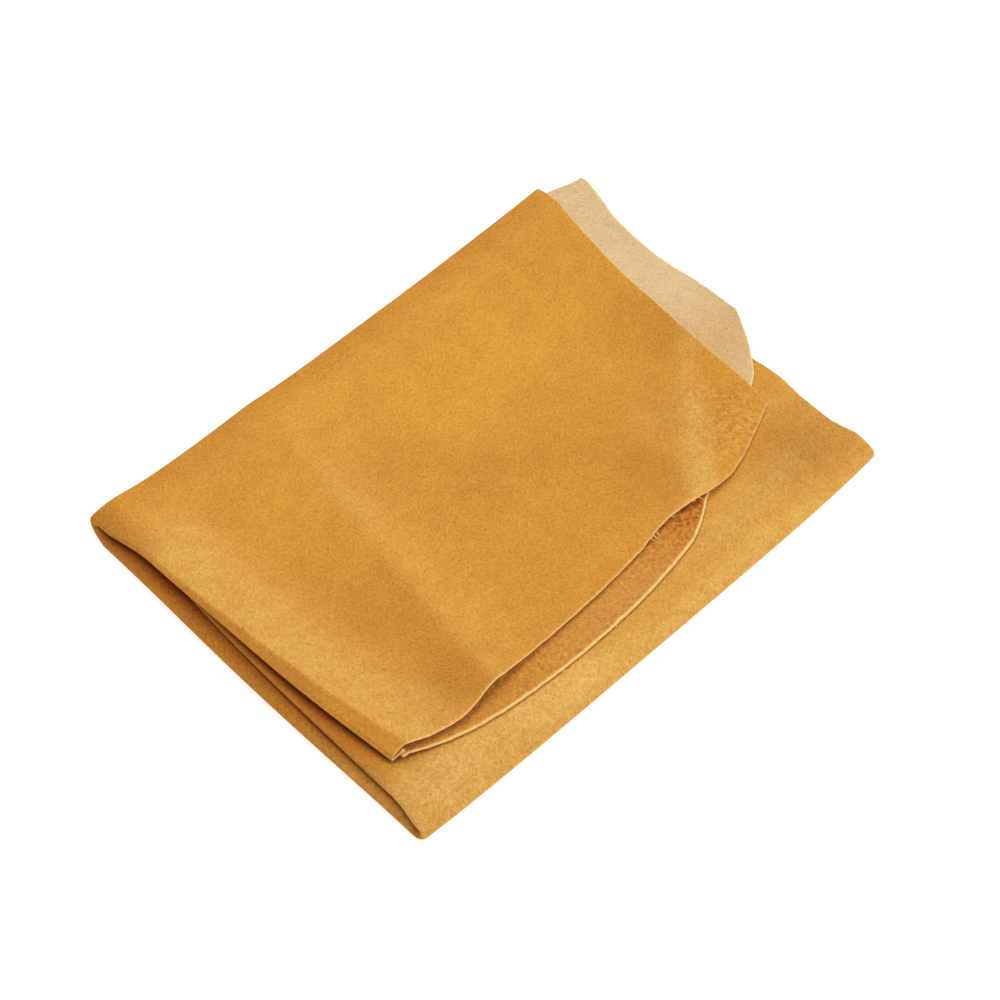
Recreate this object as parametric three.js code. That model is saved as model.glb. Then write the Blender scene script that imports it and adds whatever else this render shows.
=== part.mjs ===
// A chamois leather as it is sold and put away: one hide, folded in half and then in three.
// Millimetres, +Z up. X runs along the two cross folds, from the half fold to the cut ends.
// Y runs from the near fold to the far fold. The origin lies under the middle of the base panel.
//
// The hide is first folded in half, along the half fold, so everything below has an outer and an inner leaf.
// Its near third, the tucked flap, is then turned in over the near fold.
// Its far third, the top flap, is turned in last over the far fold and covers the tucked flap.

import * as THREE from 'three';

// The leather and the air round it
const LEATHER = 1.2; // thickness of the hide
const LAYER_GAP = 0.4; // air between two leaves where one lies on the other
const SEAM_GAP = 0.3; // parting gap where a leaf runs into a bend

// The folded packet, over the outsides of its folds
const PACKET_LENGTH = 253; // from the half fold to the cut ends
const PACKET_WIDTH = 194; // from the near fold to the far fold

// How far each fold bulges past the end of the leaves that it joins, at the middle of the leather
const FAR_INNER_DEPTH = 6.6;
const FAR_FOLD_AIR = 1.2; // air between the far fold's two bends, besides the gap between leaves
const NEAR_INNER_DEPTH = 2.4;
const BASE_EDGE_DEPTH = 3;
const TOP_EDGE_DEPTH = 1;
const TUCKED_EDGE_DEPTH = 1;
const NEAR_EDGE_CURVE = 3; // the higher it is, the later the half fold deepens round the near fold
const FAR_FOLD_LEAN = 1.3; // above 1 the far fold bulges more at its top than at the table
const FAR_FOLD_LEAN_AT_HALF_FOLD = 1.75;
const FAR_FOLD_LEAN_REACH = 0.25; // share of the far fold's length over which its lean changes
const NEAR_FOLD_BOW = 1.6; // the near fold stands out further in the middle than at its ends

// How far the half fold's edge of each flap lies inside the edge of the base
const TOP_EDGE_SETBACK_AT_FOLD = 1.6;
const TOP_EDGE_SETBACK_AT_END = 14.6;
const TUCKED_EDGE_SETBACK_AT_FOLD = 4;
const TUCKED_EDGE_SETBACK_AT_END = 7.8;
const TUCKED_EDGE_CURVE = 4; // the higher it is, the later that edge turns inwards

// How far each flap reaches back from its fold, along the half fold and at its cut corner
const TOP_OUTER_REACH = 162.3;
const TOP_OUTER_CORNER_REACH = 146;
const TOP_INNER_REACH = 164.5;
const TOP_INNER_CORNER_REACH = 103;
const TUCKED_OUTER_REACH = 150;
const TUCKED_OUTER_CORNER_REACH = 146;
const TUCKED_INNER_REACH = 146;
const TUCKED_INNER_CORNER_REACH = 142;

// How far each cut side stands out past the packet's length, at the folds and at the flaps' corners
const OUTER_SIDE_AT_FAR_FOLD = -1.5;
const OUTER_SIDE_AT_NEAR_FOLD = -1.7;
const OUTER_SIDE_AT_TOP_CORNER = -16.2;
const OUTER_SIDE_AT_TUCKED_CORNER = -8.5;
const INNER_SIDE_AT_FAR_FOLD = 17.2;
const INNER_SIDE_AT_NEAR_FOLD = -7;
const INNER_SIDE_AT_TOP_CORNER = 11.5;
const INNER_SIDE_AT_TUCKED_CORNER = -14.5;

// The wander of each hand-cut edge: [share of the way along it, millimetres to the outside of a straight cut]
const TOP_OUTER_END_WANDER = [
  [0.02, 0.5], [0.08, 5], [0.145, 8], [0.22, 7.2], [0.375, 8.5], [0.48, 9.2], [0.59, 8.7], [0.68, 7],
  [0.8, 11], [0.87, 9.8], [0.96, 3.3],
];
const TOP_INNER_END_WANDER = [
  [0.04, 6.4], [0.11, 15.9], [0.2, 24.7], [0.32, 33.5], [0.45, 40.3], [0.56, 43.3], [0.62, 42.9],
  [0.69, 36.8], [0.8, 26], [0.9, 25.4], [0.95, 16.4], [0.985, 5.8],
];
const TUCKED_OUTER_END_WANDER = [[0.3, 3], [0.62, -4]];
const TUCKED_INNER_END_WANDER = [[0.4, -3], [0.7, 2]];
const TOP_OUTER_SIDE_WANDER = [[0.13, -1.9], [0.34, -3.7], [0.52, -2.9], [0.7, -2], [0.88, -0.3]];
const TOP_INNER_SIDE_WANDER = [[0.1, -1.7], [0.28, -5.2], [0.55, -5.4], [0.78, -1.9]];
const BASE_OUTER_SIDE_WANDER = [[0.35, -3], [0.7, -2]];
const BASE_INNER_SIDE_WANDER = [[0.3, -3], [0.6, -6], [0.8, -3.5]];
const TUCKED_OUTER_SIDE_WANDER = [
  [0.045, 1.3], [0.13, 0.2], [0.26, 1.4], [0.35, 3.2], [0.47, 2.6], [0.75, 1.5],
];
const TUCKED_INNER_SIDE_WANDER = [[0.5, -2]];

// The loft of the leaves: how far they stand up from lying flat on each other
const BASE_ROLL_AT_FAR_FOLD = 4.8; // the base's half fold stays open as a roll
const BASE_ROLL_AT_NEAR_FOLD = 1.2;
const BASE_ROLL_REACH = 20; // how far in the roll lifts the leaves of the base and the tucked flap
const TOP_ROLL_REACH = 32; // and those of the top flap
const BASE_ROLL_EASE = 0.5; // share of that roll that the base's inner leaf loses at the far fold
const TOP_ROLL_EASE = 0.3; // and that the top flap loses
const ROLL_EASE_REACH = 45;
const EDGE_ARCH = 3; // the top flap's half fold arches off the tucked flap between its ends
const ARCH_OVERHANG = 1.5; // and leans out where it does
const ARCH_PLACE = -20; // Y of the middle of that arch
const ARCH_LENGTH = 46;
const NEAR_LOOP = 1.6; // the near fold springs open a little
const NEAR_LOOP_REACH = 20;
const TOP_LOFT = 0.4; // air between the leaves of the top flap
const LIP_RISE = 2.7; // the top leaf climbs from its half fold to a crease, and falls slowly from there
const LIP_CREST = 5.5; // from the half fold to that crease
const LIP_FALL = 14; // how far in from the crease a third of its rise is left
const LIP_FADE_START = 12; // from the far fold to where the lip begins
const LIP_FADE_END = 140; // from the far fold to where the lip is full
const RIDGE_RISE = 4; // the soft ridge across the top leaf
const RIDGE_SETBACK_AT_FOLD = 87; // from the half fold's edge to the ridge, at the far fold
const RIDGE_SETBACK_AT_END = 63; // and at the flap's free end
const RIDGE_SHARE_AT_FOLD = 0.5; // how much of its rise the ridge has at the far fold
const RIDGE_SHARE_AT_END = 1.2;
const RIDGE_FLANK_AT_FOLD = 30; // how far from its crest it falls to a third, on the half fold's side
const RIDGE_FLANK_AT_END = 14;
const RIDGE_BACK_AT_FOLD = 11; // and on the cut side
const RIDGE_BACK_AT_END = 16;
const FLAP_DROOP = 0.4; // the inner leaf's corner hangs where nothing lies under it
const FLAP_DROOP_START = 2; // past the packet's length
const FLAP_DROOP_END = 18;
const CORNER_DROP_START = 2; // past the hidden edge of the inner leaf, the top leaf's corner drops
const CORNER_DROP_END = 12;
const HIDDEN_EDGE_SETBACK = 64; // where that hidden edge starts, from the cut ends
const HIDDEN_EDGE_REACH = 160; // and from the far fold
const HIDDEN_EDGE_TURN = THREE.MathUtils.degToRad(24.5); // and how it runs off towards the cut ends

// How finely the leather is divided
const STEPS_ALONG = 20; // along X
const STEPS_ACROSS = 12; // along Y
const END_CROWDING = 0.6; // how much closer the steps lie at the edges of a leaf than in its middle
const STEPS_ROUND_CROSS_FOLD = 8;
const STEPS_ROUND_HALF_FOLD = 6;

// The leather's two sides
const OUTER_COLOUR = 0xd79641;
const INNER_COLOUR = 0xd6ae78;
const SUEDE_ROUGHNESS = 0.95;

// Lines that everything is set out from
const pitch = LEATHER + LAYER_GAP; // from the middle of one leaf to the middle of the next
const halfEdge = -PACKET_LENGTH / 2;
const cutSide = PACKET_LENGTH / 2;
const farEdge = PACKET_WIDTH / 2;
const nearEdge = -PACKET_WIDTH / 2;
const farOuterDepth = FAR_INNER_DEPTH + pitch + FAR_FOLD_AIR;
const nearOuterDepth = NEAR_INNER_DEPTH + pitch;
const farLine = farEdge - LEATHER / 2 - farOuterDepth; // where the leaves end at the far fold
const nearLine = nearEdge + LEATHER / 2 + nearOuterDepth + NEAR_FOLD_BOW; // and at the near fold
const farSeam = farLine - SEAM_GAP / 2;
const nearSeam = nearLine + SEAM_GAP / 2;

const lerp = THREE.MathUtils.lerp;
const smooth = (from, to, value) => {
  const share = THREE.MathUtils.clamp((value - from) / (to - from), 0, 1);
  return share * share * (3 - 2 * share);
};
const bell = (share) => Math.exp(-share * share);

// Shares from 0 to 1: evenly spread, and crowded towards both ends
const evenShares = (steps) => Array.from({ length: steps + 1 }, (_, step) => step / steps);
const crowded = (share) => lerp(share, smooth(0, 1, share), END_CROWDING);
const crowdedShares = (steps) => evenShares(steps).map(crowded);

// Where the leaves of each panel end along the half fold, as X at a given Y
const baseHalfLine = () => halfEdge + LEATHER / 2 + BASE_EDGE_DEPTH;
const topShare = (y) => (farEdge - y) / TOP_OUTER_REACH; // of the way from the far fold to the flap's end
const archShare = (y) => bell((y - ARCH_PLACE) / ARCH_LENGTH);
const topHalfLine = (y) => {
  const setback = lerp(TOP_EDGE_SETBACK_AT_FOLD, TOP_EDGE_SETBACK_AT_END, topShare(y));
  return halfEdge + setback + LEATHER / 2 + TOP_EDGE_DEPTH - ARCH_OVERHANG * archShare(y);
};
const tuckedHalfLine = (y) => {
  const share = ((y - nearEdge) / TUCKED_OUTER_REACH) ** TUCKED_EDGE_CURVE;
  const setback = lerp(TUCKED_EDGE_SETBACK_AT_FOLD, TUCKED_EDGE_SETBACK_AT_END, share);
  return halfEdge + setback + LEATHER / 2 + TUCKED_EDGE_DEPTH;
};

// Heights of the middle of each leaf over the table, each leaf lying on the one below it
const roll = (x, y, reach) => {
  const rise = lerp(BASE_ROLL_AT_NEAR_FOLD, BASE_ROLL_AT_FAR_FOLD, (y - nearLine) / (farLine - nearLine));
  return rise * (1 - smooth(0, reach, x - baseHalfLine()));
};
const easedRoll = (x, y, reach, ease) =>
  roll(x, y, reach) * (1 - ease * smooth(farLine - ROLL_EASE_REACH, farLine, y));
const topLift = (x, y) => {
  const arch = EDGE_ARCH * archShare(y) * (1 - smooth(0, TOP_ROLL_REACH, x - topHalfLine(y)));
  return easedRoll(x, y, TOP_ROLL_REACH, TOP_ROLL_EASE) + arch;
};
const nearLoop = (y) => NEAR_LOOP * (1 - smooth(0, NEAR_LOOP_REACH, y - nearLine));
const lip = (x, y) => {
  const inward = x - topHalfLine(y);
  const rise = LIP_RISE * smooth(LIP_FADE_START, LIP_FADE_END, farEdge - y);
  const fall = Math.exp(-Math.max(inward - LIP_CREST, 0) / LIP_FALL);
  return rise * smooth(0, LIP_CREST, inward) * fall;
};
const ridge = (x, y) => {
  const share = topShare(y);
  const past = x - halfEdge - lerp(RIDGE_SETBACK_AT_FOLD, RIDGE_SETBACK_AT_END, share);
  const flank = lerp(RIDGE_FLANK_AT_FOLD, RIDGE_FLANK_AT_END, share);
  const back = lerp(RIDGE_BACK_AT_FOLD, RIDGE_BACK_AT_END, share);
  const strength = lerp(RIDGE_SHARE_AT_FOLD, RIDGE_SHARE_AT_END, share);
  return RIDGE_RISE * strength * Math.exp(past < 0 ? past / flank : -past / back);
};
const cornerDrop = (x, y) => {
  const right = x - (cutSide - HIDDEN_EDGE_SETBACK);
  const up = y - (farEdge - HIDDEN_EDGE_REACH);
  const past = right * Math.sin(HIDDEN_EDGE_TURN) - up * Math.cos(HIDDEN_EDGE_TURN);
  return (pitch + TOP_LOFT) * smooth(CORNER_DROP_START, CORNER_DROP_END, past);
};

const baseOuterHeight = () => LEATHER / 2;
const baseInnerHeight = (x, y) =>
  baseOuterHeight() + pitch + easedRoll(x, y, BASE_ROLL_REACH, BASE_ROLL_EASE);
const tuckedInnerHeight = (x, y) =>
  baseOuterHeight() + 2 * pitch + roll(x, y, BASE_ROLL_REACH) + nearLoop(y);
const tuckedOuterHeight = (x, y) => tuckedInnerHeight(x, y) + pitch;
const topInnerHeight = (x, y) => {
  const droop = FLAP_DROOP * smooth(cutSide + FLAP_DROOP_START, cutSide + FLAP_DROOP_END, x);
  return baseOuterHeight() + 4 * pitch + topLift(x, y) + nearLoop(y) - droop;
};
const topOuterHeight = (x, y) =>
  topInnerHeight(x, y) + pitch + TOP_LOFT + lip(x, y) + ridge(x, y) - cornerDrop(x, y);

// A cut edge from one point to another, wandering to one side of the straight line between them
function wanderingEdge(start, end, wander, outside) {
  const points = wander.map(([share, out]) => start.clone().lerp(end, share).addScaledVector(outside, out));
  return new THREE.SplineCurve([start, ...points, end]);
}

const point = (x, y) => new THREE.Vector2(x, y);
const towardsNear = point(0, -1);
const towardsFar = point(0, 1);
const towardsCut = point(1, 0);

// The plan of a leaf, blended from its four edges: s runs from the half fold to the cut side
function leafPlan({ foldEdge, endEdge, halfFoldEdge, cutEdge }) {
  return (s, t) => {
    const fold = foldEdge.getPointAt(s);
    const end = endEdge.getPointAt(s);
    const half = halfFoldEdge.getPointAt(t);
    const cut = cutEdge.getPointAt(t);
    const across = fold.lerp(end, t);
    const along = half.lerp(cut, s);
    const nearCorners = foldEdge.getPointAt(0).lerp(foldEdge.getPointAt(1), s);
    const farCorners = endEdge.getPointAt(0).lerp(endEdge.getPointAt(1), s);
    return across.add(along).sub(nearCorners.lerp(farCorners, t));
  };
}

// A flap's leaf runs from its fold to a cut end
function flapPlan({ seam, halfLine, foldSide, endY, corner, endWander, sideWander, outside }) {
  const atHalfFold = (y) => point(halfLine(y) + SEAM_GAP / 2, y);
  const stations = evenShares(STEPS_ACROSS);
  const foldEnd = point(foldSide, seam);
  return leafPlan({
    foldEdge: new THREE.LineCurve(atHalfFold(seam), foldEnd),
    endEdge: wanderingEdge(atHalfFold(endY), corner, endWander, outside),
    halfFoldEdge: new THREE.SplineCurve(stations.map((share) => atHalfFold(lerp(seam, endY, share)))),
    cutEdge: wanderingEdge(foldEnd, corner, sideWander, towardsCut),
  });
}

// A base leaf runs from fold to fold
function basePlan({ farSide, nearSide, sideWander }) {
  const halfLine = baseHalfLine() + SEAM_GAP / 2;
  const farStart = point(halfLine, farSeam);
  const farEnd = point(farSide, farSeam);
  const nearStart = point(halfLine, nearSeam);
  const nearEnd = point(nearSide, nearSeam);
  return leafPlan({
    foldEdge: new THREE.LineCurve(farStart, farEnd),
    endEdge: new THREE.LineCurve(nearStart, nearEnd),
    halfFoldEdge: new THREE.LineCurve(farStart, nearStart),
    cutEdge: wanderingEdge(farEnd, nearEnd, sideWander, towardsCut),
  });
}

// The middle of a leaf: its plan, raised to its height over the table
function leafSurface(plan, height) {
  return (s, t) => {
    const place = plan(s, t);
    return new THREE.Vector3(place.x, place.y, height(place.x, place.y));
  };
}

// Shares of a fold's upper and lower leaf, a share u of the way round it, and how far it bulges there
const upperShare = (u) => (1 - u) ** 2 * (1 + 2 * u);
const bulgeShare = (u, lean) => 4 * (lean * u * (1 - u) ** 2 + (2 - lean) * u ** 2 * (1 - u));

// The middle of a cross fold's bend, from the flap's fold line round to the base's, bowed along its length
function bendSurface({ flap, base, baseT, depth, bow, lean, direction }) {
  return (s, u) => {
    const place = base(s, baseT).lerp(flap(s, 0), upperShare(u));
    const bulge = depth + bow * 4 * s * (1 - s) - SEAM_GAP / 2;
    place.y += direction * (SEAM_GAP + bulge * bulgeShare(u, lean(s)));
    return place;
  };
}

// The middle of the half fold, from an outer sheet's edge round to the inner sheet's
function halfFoldSurface({ outer, inner, depth }) {
  return (u, t) => {
    const place = inner(0, t).lerp(outer(0, t), upperShare(u));
    place.x -= SEAM_GAP + (depth(t) - SEAM_GAP / 2) * bulgeShare(u, 1);
    return place;
  };
}

// A sheet of leather of even thickness about a middle surface, closed round its rim
function leatherSolid(surface, sShares, tShares) {
  const step = 1e-4; // share of the sheet over which its slope is taken
  const upper = [];
  const lower = [];
  for (const t of tShares) {
    for (const s of sShares) {
      const alongS = surface(Math.min(s + step, 1), t).sub(surface(Math.max(s - step, 0), t));
      const alongT = surface(s, Math.min(t + step, 1)).sub(surface(s, Math.max(t - step, 0)));
      const normal = alongS.cross(alongT).normalize();
      const middle = surface(s, t);
      upper.push(middle.clone().addScaledVector(normal, LEATHER / 2));
      lower.push(middle.clone().addScaledVector(normal, -LEATHER / 2));
    }
  }
  const sSteps = sShares.length - 1;
  const tSteps = tShares.length - 1;
  const row = sShares.length;
  const count = upper.length;
  const at = (i, j) => j * row + i;
  const triangles = [];
  const quad = (a, b, c, d) => triangles.push(a, b, c, a, c, d);
  for (let j = 0; j < tSteps; j += 1) {
    for (let i = 0; i < sSteps; i += 1) {
      const [a, b, c, d] = [at(i, j), at(i + 1, j), at(i + 1, j + 1), at(i, j + 1)];
      quad(a, b, c, d);
      quad(d + count, c + count, b + count, a + count);
    }
  }
  const rim = (from, to) => quad(to, from, from + count, to + count);
  for (let i = 0; i < sSteps; i += 1) {
    rim(at(i, 0), at(i + 1, 0));
    rim(at(i + 1, tSteps), at(i, tSteps));
  }
  for (let j = 0; j < tSteps; j += 1) {
    rim(at(sSteps, j), at(sSteps, j + 1));
    rim(at(0, j + 1), at(0, j));
  }
  const geometry = new THREE.BufferGeometry();
  geometry.setFromPoints([...upper, ...lower]);
  geometry.setIndex(triangles);
  geometry.computeVertexNormals();
  return geometry;
}

const group = new THREE.Group();

function addPiece(name, surface, sShares, tShares, color) {
  const material = new THREE.MeshStandardMaterial({ color, roughness: SUEDE_ROUGHNESS, metalness: 0 });
  const mesh = new THREE.Mesh(leatherSolid(surface, sShares, tShares), material);
  mesh.name = name;
  group.add(mesh);
}

// The leaves, each with its plan and its height
const topOuter = leafSurface(
  flapPlan({
    seam: farSeam,
    halfLine: topHalfLine,
    foldSide: cutSide + OUTER_SIDE_AT_FAR_FOLD,
    endY: farEdge - TOP_OUTER_REACH,
    corner: point(cutSide + OUTER_SIDE_AT_TOP_CORNER, farEdge - TOP_OUTER_CORNER_REACH),
    endWander: TOP_OUTER_END_WANDER,
    sideWander: TOP_OUTER_SIDE_WANDER,
    outside: towardsNear,
  }),
  topOuterHeight,
);
const topInner = leafSurface(
  flapPlan({
    seam: farSeam,
    halfLine: topHalfLine,
    foldSide: cutSide + INNER_SIDE_AT_FAR_FOLD,
    endY: farEdge - TOP_INNER_REACH,
    corner: point(cutSide + INNER_SIDE_AT_TOP_CORNER, farEdge - TOP_INNER_CORNER_REACH),
    endWander: TOP_INNER_END_WANDER,
    sideWander: TOP_INNER_SIDE_WANDER,
    outside: towardsNear,
  }),
  topInnerHeight,
);
const tuckedOuter = leafSurface(
  flapPlan({
    seam: nearSeam,
    halfLine: tuckedHalfLine,
    foldSide: cutSide + OUTER_SIDE_AT_NEAR_FOLD,
    endY: nearEdge + TUCKED_OUTER_REACH,
    corner: point(cutSide + OUTER_SIDE_AT_TUCKED_CORNER, nearEdge + TUCKED_OUTER_CORNER_REACH),
    endWander: TUCKED_OUTER_END_WANDER,
    sideWander: TUCKED_OUTER_SIDE_WANDER,
    outside: towardsFar,
  }),
  tuckedOuterHeight,
);
const tuckedInner = leafSurface(
  flapPlan({
    seam: nearSeam,
    halfLine: tuckedHalfLine,
    foldSide: cutSide + INNER_SIDE_AT_NEAR_FOLD,
    endY: nearEdge + TUCKED_INNER_REACH,
    corner: point(cutSide + INNER_SIDE_AT_TUCKED_CORNER, nearEdge + TUCKED_INNER_CORNER_REACH),
    endWander: TUCKED_INNER_END_WANDER,
    sideWander: TUCKED_INNER_SIDE_WANDER,
    outside: towardsFar,
  }),
  tuckedInnerHeight,
);
const baseOuter = leafSurface(
  basePlan({
    farSide: cutSide + OUTER_SIDE_AT_FAR_FOLD,
    nearSide: cutSide + OUTER_SIDE_AT_NEAR_FOLD,
    sideWander: BASE_OUTER_SIDE_WANDER,
  }),
  baseOuterHeight,
);
const baseInner = leafSurface(
  basePlan({
    farSide: cutSide + INNER_SIDE_AT_FAR_FOLD,
    nearSide: cutSide + INNER_SIDE_AT_NEAR_FOLD,
    sideWander: BASE_INNER_SIDE_WANDER,
  }),
  baseInnerHeight,
);

// The bends that carry the flaps' leaves round into the base's
const farLean = (s) => lerp(FAR_FOLD_LEAN_AT_HALF_FOLD, FAR_FOLD_LEAN, smooth(0, FAR_FOLD_LEAN_REACH, s));
const farFold = { baseT: 0, bow: 0, lean: farLean, direction: 1 };
const nearFold = { baseT: 1, bow: NEAR_FOLD_BOW, lean: () => 1, direction: -1 };
const farOuter = bendSurface({ flap: topOuter, base: baseOuter, depth: farOuterDepth, ...farFold });
const farInner = bendSurface({ flap: topInner, base: baseInner, depth: FAR_INNER_DEPTH, ...farFold });
const nearOuter = bendSurface({ flap: tuckedOuter, base: baseOuter, depth: nearOuterDepth, ...nearFold });
const nearInner = bendSurface({ flap: tuckedInner, base: baseInner, depth: NEAR_INNER_DEPTH, ...nearFold });

const along = crowdedShares(STEPS_ALONG);
const across = crowdedShares(STEPS_ACROSS);
const roundCrossFold = evenShares(STEPS_ROUND_CROSS_FOLD);
const roundHalfFold = evenShares(STEPS_ROUND_HALF_FOLD);

const leaves = {
  top_flap_outer_leaf: [topOuter, OUTER_COLOUR],
  top_flap_inner_leaf: [topInner, INNER_COLOUR],
  tucked_flap_outer_leaf: [tuckedOuter, OUTER_COLOUR],
  tucked_flap_inner_leaf: [tuckedInner, INNER_COLOUR],
  base_outer_leaf: [baseOuter, OUTER_COLOUR],
  base_inner_leaf: [baseInner, INNER_COLOUR],
};
for (const [name, [surface, colour]] of Object.entries(leaves)) {
  addPiece(name, surface, along, across, colour);
}

const bends = {
  far_fold_outer_bend: [farOuter, OUTER_COLOUR],
  far_fold_inner_bend: [farInner, INNER_COLOUR],
  near_fold_outer_bend: [nearOuter, OUTER_COLOUR],
  near_fold_inner_bend: [nearInner, INNER_COLOUR],
};
for (const [name, [surface, colour]] of Object.entries(bends)) {
  addPiece(name, surface, along, roundCrossFold, colour);
}

// The half fold, which runs on from panel to panel: along each flap and the base, and round both cross folds
const farEdgeDepth = (u) => lerp(BASE_EDGE_DEPTH, TOP_EDGE_DEPTH, upperShare(u));
const nearEdgeDepth = (u) => lerp(TUCKED_EDGE_DEPTH, BASE_EDGE_DEPTH, u ** NEAR_EDGE_CURVE);
const halfFolds = {
  top_flap_edge_fold: [topOuter, topInner, () => TOP_EDGE_DEPTH, across],
  tucked_flap_edge_fold: [tuckedOuter, tuckedInner, () => TUCKED_EDGE_DEPTH, across],
  base_edge_fold: [baseOuter, baseInner, () => BASE_EDGE_DEPTH, across],
  far_fold_edge_bend: [farOuter, farInner, farEdgeDepth, roundCrossFold],
  near_fold_edge_bend: [nearOuter, nearInner, nearEdgeDepth, roundCrossFold],
};
for (const [name, [outer, inner, depth, shares]] of Object.entries(halfFolds)) {
  addPiece(name, halfFoldSurface({ outer, inner, depth }), roundHalfFold, shares, OUTER_COLOUR);
}

export default group;
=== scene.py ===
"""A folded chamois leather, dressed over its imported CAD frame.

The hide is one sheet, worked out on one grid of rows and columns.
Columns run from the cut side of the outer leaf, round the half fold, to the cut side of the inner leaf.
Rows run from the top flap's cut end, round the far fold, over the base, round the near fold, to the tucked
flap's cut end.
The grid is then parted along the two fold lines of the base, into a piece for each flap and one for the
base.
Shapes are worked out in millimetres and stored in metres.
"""

import math

import bpy
import numpy as np
from bpy.props import FloatProperty, FloatVectorProperty, PointerProperty
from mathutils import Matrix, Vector


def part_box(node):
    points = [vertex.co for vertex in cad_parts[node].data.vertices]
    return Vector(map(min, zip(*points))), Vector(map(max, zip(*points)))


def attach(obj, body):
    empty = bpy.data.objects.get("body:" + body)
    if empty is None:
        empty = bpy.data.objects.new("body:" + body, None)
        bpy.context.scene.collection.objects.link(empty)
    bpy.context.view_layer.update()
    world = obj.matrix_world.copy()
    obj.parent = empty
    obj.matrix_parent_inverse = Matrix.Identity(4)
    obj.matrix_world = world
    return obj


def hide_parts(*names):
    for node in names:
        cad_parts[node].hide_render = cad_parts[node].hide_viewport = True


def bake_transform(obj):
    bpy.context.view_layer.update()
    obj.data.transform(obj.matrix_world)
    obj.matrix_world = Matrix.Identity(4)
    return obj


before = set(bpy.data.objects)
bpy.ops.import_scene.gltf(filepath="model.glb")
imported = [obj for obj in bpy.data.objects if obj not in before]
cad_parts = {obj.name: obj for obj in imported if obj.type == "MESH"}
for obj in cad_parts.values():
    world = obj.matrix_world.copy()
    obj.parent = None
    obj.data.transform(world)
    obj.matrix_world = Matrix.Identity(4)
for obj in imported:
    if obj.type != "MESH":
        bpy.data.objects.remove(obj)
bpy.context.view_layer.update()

bl_info = {
    "name": "Folded chamois leather",
    "version": (1, 0, 0),
    "blender": (4, 5, 0),
    "location": "View3D > Sidebar > Chamois",
    "description": "Dresses the folded hide over its CAD frame and sets up the studio round it",
    "category": "Object",
}

MM = 0.001  # one millimetre in metres


def node_box(name):
    """Lowest and highest corner of a CAD node, in millimetres."""
    low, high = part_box(name)
    return np.array(low) / MM, np.array(high) / MM


# Lines that come from the frame
BASE_LOW, BASE_HIGH = node_box("base_outer_leaf")
LEATHER = BASE_HIGH[2] - BASE_LOW[2]  # thickness of the hide
FAR_LINE = BASE_HIGH[1]  # where the leaves run into the far fold
NEAR_LINE = BASE_LOW[1]  # and into the near fold
HALF_EDGE = node_box("base_edge_fold")[0][0]  # outside of the base's half fold
NEAR_EDGE = node_box("near_fold_outer_bend")[0][1]  # outside of the near fold
CUT_SIDE = -HALF_EDGE  # the packet lies with its middle over the origin
FAR_EDGE = -NEAR_EDGE

# The leather and the air round it
LAYER_GAP = 0.4  # air between two leaves where one lies on the other
PITCH = LEATHER + LAYER_GAP
RIM = LEATHER / 2  # radius of the rounded cut edge

# How far each fold bulges past the lines of the leaves, at the middle of the leather
FAR_OUTER_DEPTH = FAR_EDGE - RIM - FAR_LINE
FAR_FOLD_AIR = 1.2
FAR_INNER_DEPTH = FAR_OUTER_DEPTH - PITCH - FAR_FOLD_AIR
NEAR_FOLD_BOW = 1.6
NEAR_OUTER_DEPTH = NEAR_LINE - NEAR_EDGE - RIM - NEAR_FOLD_BOW
NEAR_INNER_DEPTH = NEAR_OUTER_DEPTH - PITCH
NEAR_FOLD_SWELL = 0.8  # how far the hide swells past the frame's near fold
BASE_EDGE_DEPTH = 4.0
BASE_EDGE_BOW = 1.3  # how far the base's half fold bows out between the folds
TOP_EDGE_DEPTH = 1.0
TUCKED_EDGE_DEPTH = 2.0
FAR_FOLD_LEAN = (1.75, 1.3)  # at the half fold and over the rest of the fold
FAR_LEAN_REACH = 0.25  # share of the fold's length over which the lean changes
FAR_FOLD_FLARE = (0.6, 2.4)  # how far its ends lie outside its middle, at the half fold and at the cut side
FREE_CORNER = (0.92, 0.55)  # share of the inner far fold where its free corner begins, and what it loses
PINCHED_CORNER = (0.06, 0.15)  # share of it where its pinched corner ends, and what it loses
NEAR_FOLD_END = 0.5  # share of its bow and swell that the near fold has at the half fold

# How far the half fold's edge of each flap lies inside the edge of the base
TOP_EDGE_SETBACK = (0.7, 13.5)  # at the far fold and at the flap's end
SHOULDER_SETBACK = 2.1  # how much further in the top flap's half fold lies at its shoulder by the far fold
SHOULDER_PLACE = 74.0  # Y of the shoulder
SHOULDER_LENGTH = 16.0
TUCKED_EDGE_SETBACK = (0.6, 4.0, 7.8)  # at the near fold, along most of the flap and at its end
TUCKED_PINCH_REACH = 22.0  # how far from the near fold the first of them holds

# How far each flap reaches back from its fold: along the half fold, and at its cut corner
TOP_OUTER_REACH = (162.3, 146.0)
TOP_INNER_REACH = (164.5, 103.0)
TUCKED_OUTER_REACH = (150.0, 146.0)
TUCKED_INNER_REACH = (146.0, 142.0)

# How far each cut side stands out past the packet's length
OUTER_SIDE_AT_FAR_FOLD = -1.5
OUTER_SIDE_AT_NEAR_FOLD = -1.7
OUTER_SIDE_AT_TOP_CORNER = -16.2
OUTER_SIDE_AT_TUCKED_CORNER = -8.5
INNER_SIDE_AT_FAR_FOLD = 17.2
INNER_SIDE_AT_NEAR_FOLD = -7.0
INNER_SIDE_AT_TOP_CORNER = 11.5
INNER_SIDE_AT_TUCKED_CORNER = -14.5

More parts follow.
